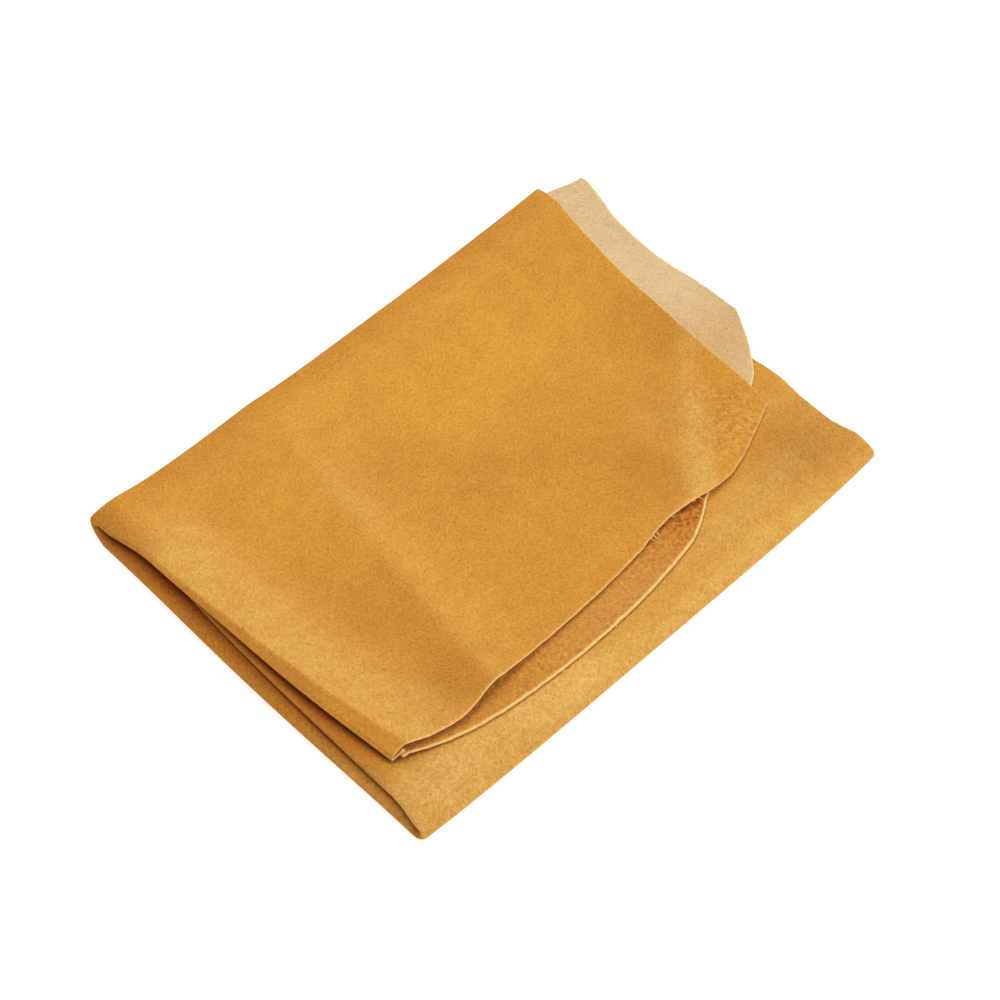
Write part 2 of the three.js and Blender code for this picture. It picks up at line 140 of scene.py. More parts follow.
# The wander of each hand-cut edge: share of the way along it, millimetres to the outside of a straight cut
TOP_OUTER_END_WANDER = (
    (0.02, 0.5), (0.08, 5.0), (0.145, 8.0), (0.22, 7.2), (0.375, 8.5), (0.48, 9.2), (0.59, 8.7),
    (0.68, 7.0), (0.8, 11.0), (0.87, 9.8), (0.96, 3.3),
)
TOP_INNER_END_WANDER = (
    (0.04, 6.4), (0.11, 15.9), (0.2, 24.7), (0.32, 33.5), (0.45, 40.3), (0.56, 43.3), (0.62, 42.9),
    (0.69, 36.8), (0.8, 27.0), (0.9, 25.4), (0.95, 16.4), (0.985, 5.8),
)
TUCKED_OUTER_END_WANDER = ((0.3, 3.0), (0.62, -4.0))
TUCKED_INNER_END_WANDER = ((0.4, -3.0), (0.7, 2.0))
TOP_OUTER_SIDE_WANDER = ((0.13, -1.9), (0.34, -3.7), (0.52, -2.9), (0.7, -2.0), (0.88, -0.3))
TOP_INNER_SIDE_WANDER = ((0.1, -1.7), (0.28, -5.2), (0.55, -5.4), (0.78, -1.9))
BASE_OUTER_SIDE_WANDER = ((0.35, -3.0), (0.7, -2.0))
BASE_INNER_SIDE_WANDER = ((0.3, -3.0), (0.6, -6.0), (0.8, -3.5))
TUCKED_OUTER_SIDE_WANDER = ((0.05, 1.3), (0.137, 0.2), (0.264, 1.4), (0.35, 3.2), (0.475, 2.6), (0.75, 1.5))
TUCKED_INNER_SIDE_WANDER = ((0.5, -2.0),)
RIPPLE = 0.05  # the fine unevenness of a hand-cut edge
RIPPLE_LENGTHS = (4.7, 7.9, 13.3)
EDGE_STEPS = 600  # points of a cut edge's spline

# The loft of the leaves
BASE_ROLL_AT_FAR_FOLD = 4.8  # how far the roll along the base's half fold lifts the leaves over it
BASE_ROLL_AT_NEAR_FOLD = 1.2
BASE_ROLL_REACH = 15.0
TOP_ROLL_REACH = 32.0
BASE_ROLL_EASE = 0.5  # share of the roll that the base's inner leaf loses at the far fold
TOP_ROLL_EASE = 0.3  # and the share that the top flap loses
ROLL_EASE_REACH = 45.0
NEAR_LOOP = 1.6  # how far the flaps rise over the loop of the near fold
NEAR_LOOP_REACH = 20.0
TOP_LOFT = 0.4  # air under the top leaf
EDGE_ARCH = 3.0  # how far the top flap's half fold arches off the tucked flap
ARCH_OVERHANG = 2.4  # and how far it leans out where it does
ARCH_PLACE = -16.0  # Y of the middle of the arch
ARCH_LENGTH = 42.0
EDGE_SAG = 2.4  # how far the top flap's half fold sags at the far fold
EDGE_SAG_REACH = 13.0  # how far in from the half fold
EDGE_SAG_FADE = (52.0, 84.0)  # Y where it begins and where it is full
LIP_CREST = (0.3, 5.9)  # from the half fold to the crest of the lip, at the far fold and at the flap's end
LIP_CREST_CURVE = 2.6  # how late the crest runs away from the half fold
LIP_FALL = 14.0  # how far the lip takes to fall off behind its crest
LIP_FADE = (12.0, 140.0)  # from the far fold to where the lip begins and to where it is full
LIP_PINCH = 0.3  # share of the lip's rise by which the half fold is pinched down
LIP_SHARPNESS = 12.0  # how sharp its crest is
CREASE_ROUND = 1.6  # how round the crest of a crease is
RIDGE_LINE = (
    (HALF_EDGE + 63.0, FAR_EDGE - TOP_OUTER_REACH[0]),  # at the top flap's end
    (HALF_EDGE + 87.0, FAR_EDGE),  # at the far fold
)
RIDGE_STRENGTH = (1.2, 0.5)  # share of the full rise at either end
RIDGE_FLANK = (14.0, 30.0)  # how fast the ridge falls away on the half fold's side, at either end
RIDGE_BACK = (16.0, 11.0)  # and on the cut side
STREAK_LINE = (
    (CUT_SIDE - 75.2, FAR_EDGE - 157.0),
    (CUT_SIDE - 32.2, FAR_EDGE - 109.0),
)
STREAK_STRENGTH = (1.0, 0.0)
STREAK_FLANK = (12.0, 12.0)
STREAK_BACK = (9.0, 9.0)
SIDE_CURL = 1.5  # how far the top leaf's cut side curls up
SIDE_CURL_REACH = 13.0
SIDE_CURL_PLACE = 14.0  # Y of the middle of the curl
SIDE_CURL_LENGTH = 34.0
SWAY_WAVES = (  # millimetres to a radian along X and along Y, and phase
    (17.0, 23.0, 0.6), (29.0, -13.0, 2.1), (11.0, 37.0, 4.0),
)
SWAY_REACH = 25.0  # how far in from the half fold the slow waves are full
FLAP_DROOP = 0.4  # how far the inner leaf of the top flap hangs down past the cut side
FLAP_DROOP_START = 2.0  # from the cut side to where it begins
FLAP_DROOP_END = 18.0  # and to where it is full
CORNER_DROP_START = 0.0  # from the inner leaf's hidden edge to where the top leaf begins to drop
CORNER_DROP_END = 9.0  # and to where it has dropped by one leaf
HIDDEN_EDGE_SETBACK = 64.0  # a point of that edge: in from the cut side
HIDDEN_EDGE_REACH = 157.5  # and back from the far fold
HIDDEN_EDGE_TURN = math.radians(24.5)

# The pinched pleat at the top flap's half fold: (inwards, up) from the inner leaf's middle at the half fold
PLEAT_SETBACK = 5.6  # how far in the inner leaf starts where the pleat is full
PLEAT_SECTION = (
    (-0.3, 1.35), (-1.1, 0.75), (-0.5, 0.12), (0.8, 0.5), (2.3, 1.25), (3.7, 1.95), (4.45, 1.9), (4.4, 1.3),
    (3.6, 1.02), (2.9, 0.55), (3.5, 0.02), (4.6, 0.0),
)
PLEAT_THINNING = 0.28  # share of the thickness that the pinch takes
PLEAT_BLEND_COLUMNS = 24  # columns beside the fold over which the thinning dies away

# Where the leather is rubbed pale, with painted highlights on lit slopes and edges and painted shade in
# crevices: shares of the full wear
# Rubbing and painted highlights: the bands behind the lip's crest, right of the ridge and right of the
# streak lie on slopes facing the light
LIP_WEAR_AND_HIGHLIGHT = 0.5
LIP_BAND_START = (-1.0, 1.0)  # how far behind the lip's crest it begins and where it is full
LIP_BAND_END = (14.0, 38.0)  # and where it begins to fade and is gone
RIDGE_WEAR_AND_HIGHLIGHT = 0.35
RIDGE_BAND_START = (-3.0, 4.0)  # how far to the right of the ridge's crest it begins and where it is full
RIDGE_BAND_FALL = 16.0  # how far it takes to fall off
RIDGE_BAND_SHARE = (1.0, 0.5)  # how much of it there is at the top flap's end and at the far fold
STREAK_WEAR_AND_HIGHLIGHT = 0.8
STREAK_BAND_PLACE = 6.3  # how far to the right of the streak's crest it wears most
STREAK_BAND_WIDTH = (7.5, 4.5)  # at the top flap's end and at the streak's other end
STREAK_BAND_SHARE = (1.0, 0.5)  # how much of it there is at either end
TOP_WEAR_AND_HIGHLIGHT_FADE = 25.0  # how far from the far fold all of these are full
FAR_FOLD_WEAR = 0.1
FAR_FOLD_WEAR_REACH = 20.0  # how far in from the far fold it fades
# Pale fuzz rubbed up and painted light along the outer bottom of the base's roll
BASE_WEAR_AND_LIGHT = 0.7
BASE_WEAR_REACH = 4.0  # how far in from the base's half fold it wears
TUCKED_RIM_WEAR_AND_HIGHLIGHT = 0.6  # rubbed pale, with a painted highlight on the rounded edge, along the tucked flap's half fold
TUCKED_RIM_REACH = 3.0
PAINTED_CREVICE_SHADE = 0.8  # painted shade: darker, redder dye in the crevice under and beside the top flap's edge, and inside the far fold's inner bend
PAINTED_CREVICE_INSIDE = (-34.0, -4.0)  # how far out from that edge it begins and where it is full
PAINTED_CREVICE_OUTSIDE = (5.0, 15.0)  # and where it begins to fade and is gone
PAINTED_CREVICE_END = (-76.0, -36.0)  # Y where it begins and where it is full
TOP_SCUFFS = (  # on the top leaf: X, Y, reach along X, reach along Y, wear
    (97.0, -48.0, 16.0, 12.0, 0.18), (76.0, -27.0, 14.0, 16.0, 0.3), (-46.0, 34.0, 8.0, 22.0, 0.2),
)
TUCKED_WEAR = (0.45, 0.33)  # at the half fold and at the cut side
TUCKED_WEAR_END = (-78.0, -54.0)  # Y where it begins to fade and where it is gone
SCUFFS_AND_HIGHLIGHT = (  # on the tucked flap: X, Y, reach along X, reach along Y, wear
    (-56.0, -85.0, 17.0, 9.0, 0.9), (-38.0, -88.0, 14.0, 6.0, 0.8), (-94.0, -82.0, 14.0, 9.0, 0.5),
    (52.0, -79.0, 20.0, 8.0, 0.25), (86.0, -75.0, 20.0, 10.0, 0.25), (-108.0, -84.0, 14.0, 12.0, 0.5),
    # (40, -96) is a long band along the near fold: rubbing, plus a painted highlight on the fold's lit edge
    (118.0, -54.0, 16.0, 14.0, 0.4), (40.0, -96.0, 80.0, 5.0, 0.25),
)

# How the nap lies, with painted shade and painted light: soft patches that look lighter or darker, as X, Y,
# reach along X, reach along Y, amount
# Besides uneven nap: painted shade on slopes facing away from the light, such as the wedge at (-72, -52)
# and the band along the far fold
TOP_NAP_AND_PAINTED_SHADING = (
    (40.0, 62.0, 75.0, 34.0, 0.09), (104.0, 20.0, 14.0, 42.0, -0.13), (52.0, -34.0, 11.0, 30.0, -0.1),
    (-72.0, -52.0, 13.0, 22.0, -0.14), (-90.0, 62.0, 30.0, 22.0, 0.07), (76.0, -26.0, 12.0, 16.0, -0.14),
    (97.0, -48.0, 14.0, 12.0, -0.08), (-10.0, 92.0, 110.0, 9.0, -0.12), (0.0, -75.0, 36.0, 8.0, -0.16),
)
# Painted shade under the top leaf's corner at (108, -72) and beside the top flap's edge at (-112, -30);
# painted light along the near fold at (40, -92)
TUCKED_NAP_AND_PAINTED_SHADING = (
    (108.0, -72.0, 26.0, 22.0, -0.24), (40.0, -92.0, 90.0, 7.0, 0.08), (-112.0, -30.0, 16.0, 60.0, -0.12),
    (30.0, -86.0, 20.0, 5.0, -0.06),
)
SHOULDER_PAINTED_SHADE = -0.2  # painted shade on the top flap's sagging shoulder by the far fold
EDGE_PAINTED_SHADE = -0.18  # painted shade on the tucked flap, out from the top flap's edge
EDGE_PAINTED_SHADE_PLACE = 8.0  # how far out its middle lies
EDGE_PAINTED_SHADE_REACH = 5.0
EDGE_PAINTED_SHADE_END = (-84.0, -58.0)  # Y where it begins and where it is full
BASE_PAINTED_SHADE = -0.17  # painted shade over the base, whose roll faces away from the light
FLANK_PAINTED_LIGHT = 0.14  # painted light on the shaded flank between the top flap's half fold and its crease
FLANK_PAINTED_LIGHT_END = (-1.5, 0.5)  # how far behind the crest it begins to fade and is gone

# Where the dye went through to the flesh side: from X where it is full to X where it ends
SOAK_END = (66.0, 104.0)
SOAK_PATCHES = (  # X, Y, reach along X, reach along Y, how much more
    (122.0, -14.0, 18.0, 20.0, 0.3), (0.0, -74.0, 30.0, 10.0, -0.07),
)
FRAY = (0.1, 0.8)  # width of the pale fibre along a cut edge: full to here, gone from here
FRAY_WEAR = 0.5  # how far it pales the outer face
COARSE_PATCHES = (  # where the grain is coarse: X, Y, reach along X, reach along Y, how much
    (97.0, -42.0, 14.0, 16.0, 1.0), (84.0, -57.0, 14.0, 11.0, 0.8),
)
STAIN_PLACE = (50.0, -62.0)
STAIN_REACH = 19.0

# Loose fibres on the cut ends: leaf, X, how many, length
TUFTS = (
    ("outer", 29.7, 7, 2.8), ("outer", 24.5, 5, 2.4), ("outer", 43.4, 4, 1.7), ("outer", 53.5, 5, 1.5),
    ("inner", -30.6, 4, 1.3), ("inner", -38.8, 4, 1.3), ("inner", -8.0, 3, 0.9),
)
FIBRE_RADIUS = 0.3
FIBRE_TAPER = 0.75  # share of its radius that a fibre loses by its tip
FIBRE_SHORTEST = 0.45  # length of the shortest fibre of a tuft, as a share of the longest
FIBRE_SPREAD = 0.55  # how far the fibres of a tuft point apart
FIBRE_SPREAD_SHARES = (1.0, 0.6, 0.45)  # how much of that along X, Y and Z
FIBRE_CURL = 0.7
FIBRE_CURL_SHARES = (1.0, 1.0, 0.5)
FIBRE_STEPS = 7
FIBRE_SIDES = 5
FIBRE_SEED = 11

# The grain of the suede
NAP_STRETCH = (1.0, 0.5, 1.0)  # the nap's fibres are twice as long as they are wide
NAP_TURN = 0.6  # how far they turn from the half fold's direction, in radians
PORE_SPACING = 0.005  # in metres
PORE_RIM = (0.05, 0.14)  # shares of that: a pore is darkest up to the first and ends at the second
NOISES = {  # size of the patches in metres, detail, roughness, distortion
    "clouds": (0.045, 3.0, 0.55, 0.0),
    "mottle": (0.0075, 4.0, 0.55, 0.0),
    "pebble": (0.0021, 2.0, 0.5, 0.4),
    "nap": (0.00068, 2.0, 0.55, 0.4),
    "streaks": (0.0015, 3.0, 0.55, 0.0),
}
NOISE_RANGE = (0.3, 0.7)  # what most of a noise keeps to
NAP_RANGE = (0.25, 0.75)
STREAK_RANGE = (0.35, 0.6)
STREAK_SHADE = 0.86  # how dark the streaks of a cut edge are
WEAR_PATCHINESS = (0.88, 1.12)  # how unevenly the dye is rubbed off
GRAIN_WEAR = (0.2, 0.9)  # the wear from which the outer face gets coarser and at which it is coarsest
OUTER_GRAIN = (0.25, 0.75)  # how coarse it is at either
FLESH_GRAIN = (0.2, 0.8)  # how coarse the flesh face is, and how much coarser where the dye soaked through
STAIN_RANGE = (0.35, 0.6)  # the noise from which the stain gets thinner and at which it is thinnest
STAIN_SHARE = (1.0, 0.35)  # how much of it there is at either
PEBBLE_STRENGTH = 0.8
PEBBLE_HEIGHT = 0.0005
ROUGHNESS = 0.95
SPECULAR = 0.1
SHEEN_ROUGHNESS = 0.5
OUTER_SHEEN = 1.3  # how much lighter than the leather its sheen is
FLESH_SHEEN = 1.2

# How finely the sheet is divided
LEAF_COLUMNS = 150
FOLD_COLUMNS = 40
TOP_ROWS = 104
FAR_BEND_ROWS = 22
BASE_ROWS = 70
NEAR_BEND_ROWS = 18
TUCKED_ROWS = 84
END_CROWDING = 0.6  # how much closer rows and columns lie at an edge than in the middle of a leaf
RIM_STEPS = 6
RIM_LIP = 1  # how many of them carry the outer face's dye over the edge

FAR_SEAM_ROW = TOP_ROWS + FAR_BEND_ROWS - 2
NEAR_SEAM_ROW = FAR_SEAM_ROW + BASE_ROWS - 1
LAST_ROW = NEAR_SEAM_ROW + NEAR_BEND_ROWS + TUCKED_ROWS - 2
APEX_COLUMN = LEAF_COLUMNS + FOLD_COLUMNS // 2  # the middle of the half fold
INNER_COLUMN = LEAF_COLUMNS + FOLD_COLUMNS  # where the inner leaf begins
MARKS = ("wear_and_painted_light", "soak", "stain", "fray", "nap_and_painted_shading", "coarse")
MAP_MIDDLE = 0.5  # where the half fold and the far fold cross on the hide's flat map

# The studio, in metres
KEY_LIGHT_PLACE = (1.0, -0.95, 1.0)
KEY_LIGHT_SIZE = 1.1
TOP_LIGHT_PLACE = (0.1, 0.5, 1.5)
TOP_LIGHT_SIZE = 1.2
FLOOR_REACH = 4.0
FLOOR_DROP = 0.0003  # how far the floor lies under the object
FLOOR_ROUGHNESS = 0.9
SENSOR_WIDTH = 36.0  # in millimetres
CLIP_START = 0.01
COMBINED_CURVE = 3  # the tone curve that acts on all colours

# The camera's tone curve: light, and how bright it shows
TONE_CURVE = ((0.0, 0.0), (0.04, 0.031), (0.25, 0.245), (0.6, 0.615), (0.9, 0.83), (1.4, 1.0))


def lerp(low, high, share):
    """The value a share of the way from low to high."""
    return low + (high - low) * share


def smooth(low, high, value):
    """Smooth step: 0 below low, 1 above high, with level ends between."""
    share = np.clip((value - low) / (high - low), 0, 1)
    return share * share * (3 - 2 * share)


def soft_positive(value, width):
    """The value where it is well above nothing, nothing where it is well below, with a rounded corner."""
    return width * np.logaddexp(0, value / width)


def crowded_shares(count):
    """Shares from 0 to 1 that lie closer together at both ends, by taking a sine off an even spread."""
    even = np.linspace(0, 1, count)
    return even - END_CROWDING * np.sin(2 * np.pi * even) / (2 * np.pi)


def spline(points, count):
    """A smooth line from the second point to the last but one: a Catmull-Rom curve at count even steps."""
    place = np.linspace(0, len(points) - 3, count)
    first = np.minimum(place.astype(int), len(points) - 4)
    share = (place - first).reshape(-1, *[1] * (points.ndim - 1))
    before, start, end, after = (points[first + step] for step in range(4))
    bend = (end - before) * share
    bend = bend + (2 * before - 5 * start + 4 * end - after) * share**2
    bend = bend + (3 * start - before - 3 * end + after) * share**3
    return start + bend / 2


def lengths_along(line):
    """Distance along a line of points from its start to each point."""
    steps = np.linalg.norm(np.diff(line, axis=0), axis=1)
    return np.concatenate([[0.0], np.cumsum(steps)])


def cut_edge(start, end, wander, outside, shares):
    """A hand-cut edge from start to end, at the given shares of its length.

    A spline runs through the wander's points beside the straight line, and small sines ripple it.
    """
    knots = np.array([(0.0, 0.0), (0.0, 0.0), *wander, (1.0, 0.0), (1.0, 0.0)])
    start = np.asarray(start, float)
    end = np.asarray(end, float)
    outside = np.asarray(outside, float)
    points = start + knots[:, :1] * (end - start) + (knots[:, 1:] - RIM) * outside
    line = spline(points, EDGE_STEPS)
    length = lengths_along(line)
    ripple = sum(np.sin(2 * np.pi * length / wave + wave) for wave in RIPPLE_LENGTHS) * RIPPLE
    line = line + ripple[:, None] * outside
    return np.stack([np.interp(shares * length[-1], length, axis) for axis in line.T], axis=-1)


def straight_edge(start, end, shares):
    """A straight edge from start to end, at the given shares of its length."""
    return lerp(np.asarray(start, float), np.asarray(end, float), shares[:, None])


def leaf_plan(fold, end, half, cut, s, t):
    """A leaf's plan blended from its four edges.

    It is the sheet between fold and end, plus the one between half and cut, less the one between corners.
    """
    across = lerp(fold[None], end[None], t[:, None, None])
    along = lerp(half[:, None], cut[:, None], s[None, :, None])
    fold_chord = lerp(fold[0], fold[-1], s[:, None])
    end_chord = lerp(end[0], end[-1], s[:, None])
    return across + along - lerp(fold_chord[None], end_chord[None], t[:, None, None])


# Where the leaves of each panel end along the half fold, as X at a given Y
def base_half_line(y):
    """The base's half fold runs along the packet's edge and bows out in its middle: a squared parabola."""
    share = (np.asarray(y, float) - NEAR_LINE) / (FAR_LINE - NEAR_LINE)
    return HALF_EDGE + RIM + BASE_EDGE_DEPTH - BASE_EDGE_BOW * (4 * share * (1 - share)) ** 2


def top_half_line(y):
    """The top flap's half fold slants inwards from the far fold to the flap's end."""
    share = (FAR_EDGE - y) / TOP_OUTER_REACH[0]
    line = HALF_EDGE + lerp(*TOP_EDGE_SETBACK, share) + RIM + TOP_EDGE_DEPTH
    shoulder = SHOULDER_SETBACK * np.exp(-(((y - SHOULDER_PLACE) / SHOULDER_LENGTH) ** 2))
    return line - ARCH_OVERHANG * arch_share(y) + shoulder


def top_inner_half_line(y):
    """The inner leaf of the top flap starts further in where the pleat is pinched."""
    return top_half_line(y) + PLEAT_SETBACK * pleat_share(y)


def tucked_half_line(y):
    """The tucked flap's half fold runs straight from the near fold and curves inwards at the flap's end."""
    start, middle, end = TUCKED_EDGE_SETBACK
    share = (y - NEAR_EDGE) / TUCKED_OUTER_REACH[0]
    setback = lerp(start, middle, smooth(0, TUCKED_PINCH_REACH, y - NEAR_EDGE)) + (end - middle) * share**4
    return HALF_EDGE + setback + RIM + TUCKED_EDGE_DEPTH


# Heights of the middle of each leaf over the table, each leaf lying on the one below it
def pleat_share(y):
    """How full the lip and its pleat are: nothing near the far fold, full towards the flap's end."""
    return smooth(*LIP_FADE, FAR_EDGE - y)


def arch_share(y):
    """The top flap's half fold arches up between its ends: a bell along it."""
    return np.exp(-(((y - ARCH_PLACE) / ARCH_LENGTH) ** 2))


def roll(x, y, reach):
    """The base's half fold stays open as a roll, which dies away inwards and is tallest at the far fold."""
    rise = lerp(BASE_ROLL_AT_NEAR_FOLD, BASE_ROLL_AT_FAR_FOLD, (y - NEAR_LINE) / (FAR_LINE - NEAR_LINE))
    return rise * (1 - smooth(0, reach, x - base_half_line(y)))


def eased_roll(x, y, reach, ease):
    """The roll, of which a share is lost towards the far fold."""
    return roll(x, y, reach) * (1 - ease * smooth(FAR_LINE - ROLL_EASE_REACH, FAR_LINE, y))


def top_lift(x, y):
    """How far the top flap rises along its half fold: the roll below it and its own arch, less its sag."""
    inward = x - top_half_line(y)
    arch = EDGE_ARCH * arch_share(y) * (1 - smooth(0, TOP_ROLL_REACH, inward))
    sag = EDGE_SAG * np.clip(1 - inward / EDGE_SAG_REACH, 0, 1) ** 2 * smooth(*EDGE_SAG_FADE, y)
    return eased_roll(x, y, TOP_ROLL_REACH, TOP_ROLL_EASE) + arch - sag


def near_loop(y):
    """The near fold springs open a little."""
    return NEAR_LOOP * (1 - smooth(0, NEAR_LOOP_REACH, y - NEAR_LINE))


def lip_crest(y):
    """How far in from the half fold the lip's crest lies: it runs away from the fold ever faster."""
    return lerp(*LIP_CREST, np.maximum((FAR_EDGE - y) / TOP_OUTER_REACH[0], 0) ** LIP_CREST_CURVE)


def lip(x, y, rise):
    """The top leaf's lip: the lower of a ramp from the half fold and an exponential fall, softly joined."""
    inward = x - top_half_line(y)
    crest = lip_crest(y)
    ramp = lerp(-LIP_PINCH, 1, inward / crest)
    fall = np.exp(-(inward - crest) / LIP_FALL)
    lower = -np.logaddexp(-ramp * LIP_SHARPNESS, -fall * LIP_SHARPNESS) / LIP_SHARPNESS
    return rise * lower * pleat_share(y)


def beside_line(x, y, line):
    """How far along a line each point lies, as a share of it, and how far to its right."""
    start, end = np.array(line)
    length = math.dist(start, end)
    ahead_x, ahead_y = (end - start) / length
    share = ((x - start[0]) * ahead_x + (y - start[1]) * ahead_y) / length
    return np.clip(share, 0, 1), (x - start[0]) * ahead_y - (y - start[1]) * ahead_x


def crease(x, y, line, strength, flank, back):
    """A soft crease along a line: its crest falls off exponentially, on each side over its own length."""
    share, past = beside_line(x, y, line)
    fall = soft_positive(-past, CREASE_ROUND) / lerp(*flank, share)
    fall = fall + soft_positive(past, CREASE_ROUND) / lerp(*back, share)
    return lerp(*strength, share) * np.exp(-fall)


def side_curl(x, y):
    """The middle of the top leaf's cut side curls up a little: a smooth step across, a bell along it."""
    share = (FAR_LINE - y) / TOP_OUTER_REACH[1]
    side = CUT_SIDE + lerp(OUTER_SIDE_AT_FAR_FOLD, OUTER_SIDE_AT_TOP_CORNER, share)
    bell = np.exp(-(((y - SIDE_CURL_PLACE) / SIDE_CURL_LENGTH) ** 2))
    return SIDE_CURL * smooth(side - SIDE_CURL_REACH, side + SIDE_CURL_REACH / 2, x) * bell


def corner_drop(x, y):
    """Past the hidden edge of the inner leaf, the top leaf's corner drops by one leaf."""
    right = x - (CUT_SIDE - HIDDEN_EDGE_SETBACK)
    up = y - (FAR_EDGE - HIDDEN_EDGE_REACH)
    past = right * math.sin(HIDDEN_EDGE_TURN) - up * math.cos(HIDDEN_EDGE_TURN)
    return (PITCH + TOP_LOFT) * smooth(CORNER_DROP_START, CORNER_DROP_END, past)


def sway(x, y):
    """The slow unevenness of a hide that has been folded by hand: a sum of three crossing waves."""
    return sum(np.sin(x / radian_x + y / radian_y + phase) for radian_x, radian_y, phase in SWAY_WAVES)


def base_outer_height(x, y):
    """The base's outer leaf lies flat on the table."""
    return np.full_like(x, LEATHER / 2)


def base_inner_height(x, y):
    """The base's inner leaf lies on the outer one, lifted by the roll."""
    return LEATHER / 2 + PITCH + eased_roll(x, y, BASE_ROLL_REACH, BASE_ROLL_EASE)


def tucked_inner_height(x, y):
    """The tucked flap's inner leaf lies on the base's inner leaf."""
    return LEATHER / 2 + 2 * PITCH + roll(x, y, BASE_ROLL_REACH) + near_loop(y)


def tucked_outer_height(x, y):
    """The tucked flap's outer leaf lies on its inner leaf."""
    return tucked_inner_height(x, y) + PITCH


def top_inner_height(x, y):
    """The top flap's inner leaf lies on the tucked flap, and its free corner hangs a little."""
    droop = FLAP_DROOP * smooth(CUT_SIDE + FLAP_DROOP_START, CUT_SIDE + FLAP_DROOP_END, x)
    lift = top_lift(x, y) + near_loop(y)
    return LEATHER / 2 + 4 * PITCH + lift - droop


def top_outer_height(x, y, settings):
    """The top leaf lies on the inner one, with its lip, creases, curled side and dropped corner."""
    shape = lip(x, y, settings.lip_rise / MM) + side_curl(x, y) - corner_drop(x, y)
    ridge = settings.ridge_rise / MM * crease(x, y, RIDGE_LINE, RIDGE_STRENGTH, RIDGE_FLANK, RIDGE_BACK)
    streak = settings.streak_rise / MM * crease(
        x, y, STREAK_LINE, STREAK_STRENGTH, STREAK_FLANK, STREAK_BACK,
    )
    swing = settings.sway / MM * sway(x, y) * smooth(0, SWAY_REACH, x - top_half_line(y))
    return top_inner_height(x, y) + PITCH + TOP_LOFT + shape + ridge + streak + swing


def upper_share(u):
    """Share of the upper leaf a share u of the way round a fold: a smooth step from 1 to 0."""
    return (1 - u) ** 2 * (1 + 2 * u)


def bulge_share(u, lean):
    """How far a fold bulges a share u of the way round: two cubics, weighed by how far it leans."""
    return 4 * (lean * u * (1 - u) ** 2 + (2 - lean) * u**2 * (1 - u))


def flap_leaf(line, half_line, fold_side, end, wanders, outside, height, s, t):
    """A flap's leaf from its fold line to its cut end: its plan, raised to its height over the table."""
    (end_y, corner), (end_wander, side_wander) = end, wanders
    fold_start = (float(half_line(line)), line)
    fold_end = (fold_side, line)
    end_start = (float(half_line(end_y)), end_y)
    y = lerp(line, end_y, t)
    plan = leaf_plan(
        straight_edge(fold_start, (fold_side - RIM, line), s),
        cut_edge(end_start, corner, end_wander, outside, s),
        np.stack([half_line(y), y], axis=-1),
        cut_edge(fold_end, corner, side_wander, (1, 0), t),
        s,
        t,
    )
    return raised(plan, height)


def base_leaf(far_side, near_side, wander, height, s, t):
    """A base leaf from the far fold line to the near one."""
    y = lerp(FAR_LINE, NEAR_LINE, t)
    half = np.stack([base_half_line(y), y], axis=-1)
    plan = leaf_plan(
        straight_edge(half[0], (far_side - RIM, FAR_LINE), s),
        straight_edge(half[-1], (near_side - RIM, NEAR_LINE), s),
        half,
        cut_edge((far_side, FAR_LINE), (near_side, NEAR_LINE), wander, (1, 0), t),
        s,
        t,
    )
    return raised(plan, height)


def raised(plan, height):
    """The plan's points, each at its height over the table."""
    x, y = plan[..., 0], plan[..., 1]
    return np.stack([x, y, height(x, y)], axis=-1)


def cross_bend(flap_row, base_row, reach, direction, lean, u):
    """A cross fold's bend: from the flap's row to the base's row, bulging past both by its reach."""
    place = lerp(base_row[None], flap_row[None], upper_share(u)[:, None, None])
    place[..., 1] += direction * reach * bulge_share(u[:, None], lean)
    return place


def half_fold(outer, inner, depth, pleat):
    """The half fold from the outer leaf's edge round to the inner leaf's, row by row.

    Its section runs through points of a plain round, moved by the pleat's share towards the pinched pleat,
    and is joined by a spline that starts and ends along the two leaves.
    """
    knots = np.linspace(0, 1, len(PLEAT_SECTION) + 2)[1:-1]
    start, end = outer[:, -1], inner[:, 0]
    plain = lerp(end[:, None], start[:, None], upper_share(knots)[None, :, None])
    plain[..., 0] -= depth[:, None] * bulge_share(knots, 1)[None]
    pinched = plain.copy()
    section = np.array(PLEAT_SECTION)
    pinched[..., 0] = start[:, None, 0] + section[None, :, 0]
    pinched[..., 2] = end[:, None, 2] + section[None, :, 1]
    middle = lerp(plain, pinched, pleat[:, None, None])
    points = np.concatenate(
        [outer[:, -3:-2], start[:, None], middle, end[:, None], inner[:, 2:3]], axis=1
    ).transpose(1, 0, 2)
    return spline(points, FOLD_COLUMNS + 2)[1:-1].transpose(1, 0, 2)


def unit(vectors):
    """Vectors brought to length 1."""
    return vectors / np.maximum(np.linalg.norm(vectors, axis=-1, keepdims=True), 1e-9)


def flap_end(edge, reach, side, direction):
    """Where a flap's cut end meets the half fold, as Y, and its cut corner."""
    end_y, corner_y = edge - direction * np.array(reach)
    return end_y, (CUT_SIDE + side, corner_y)


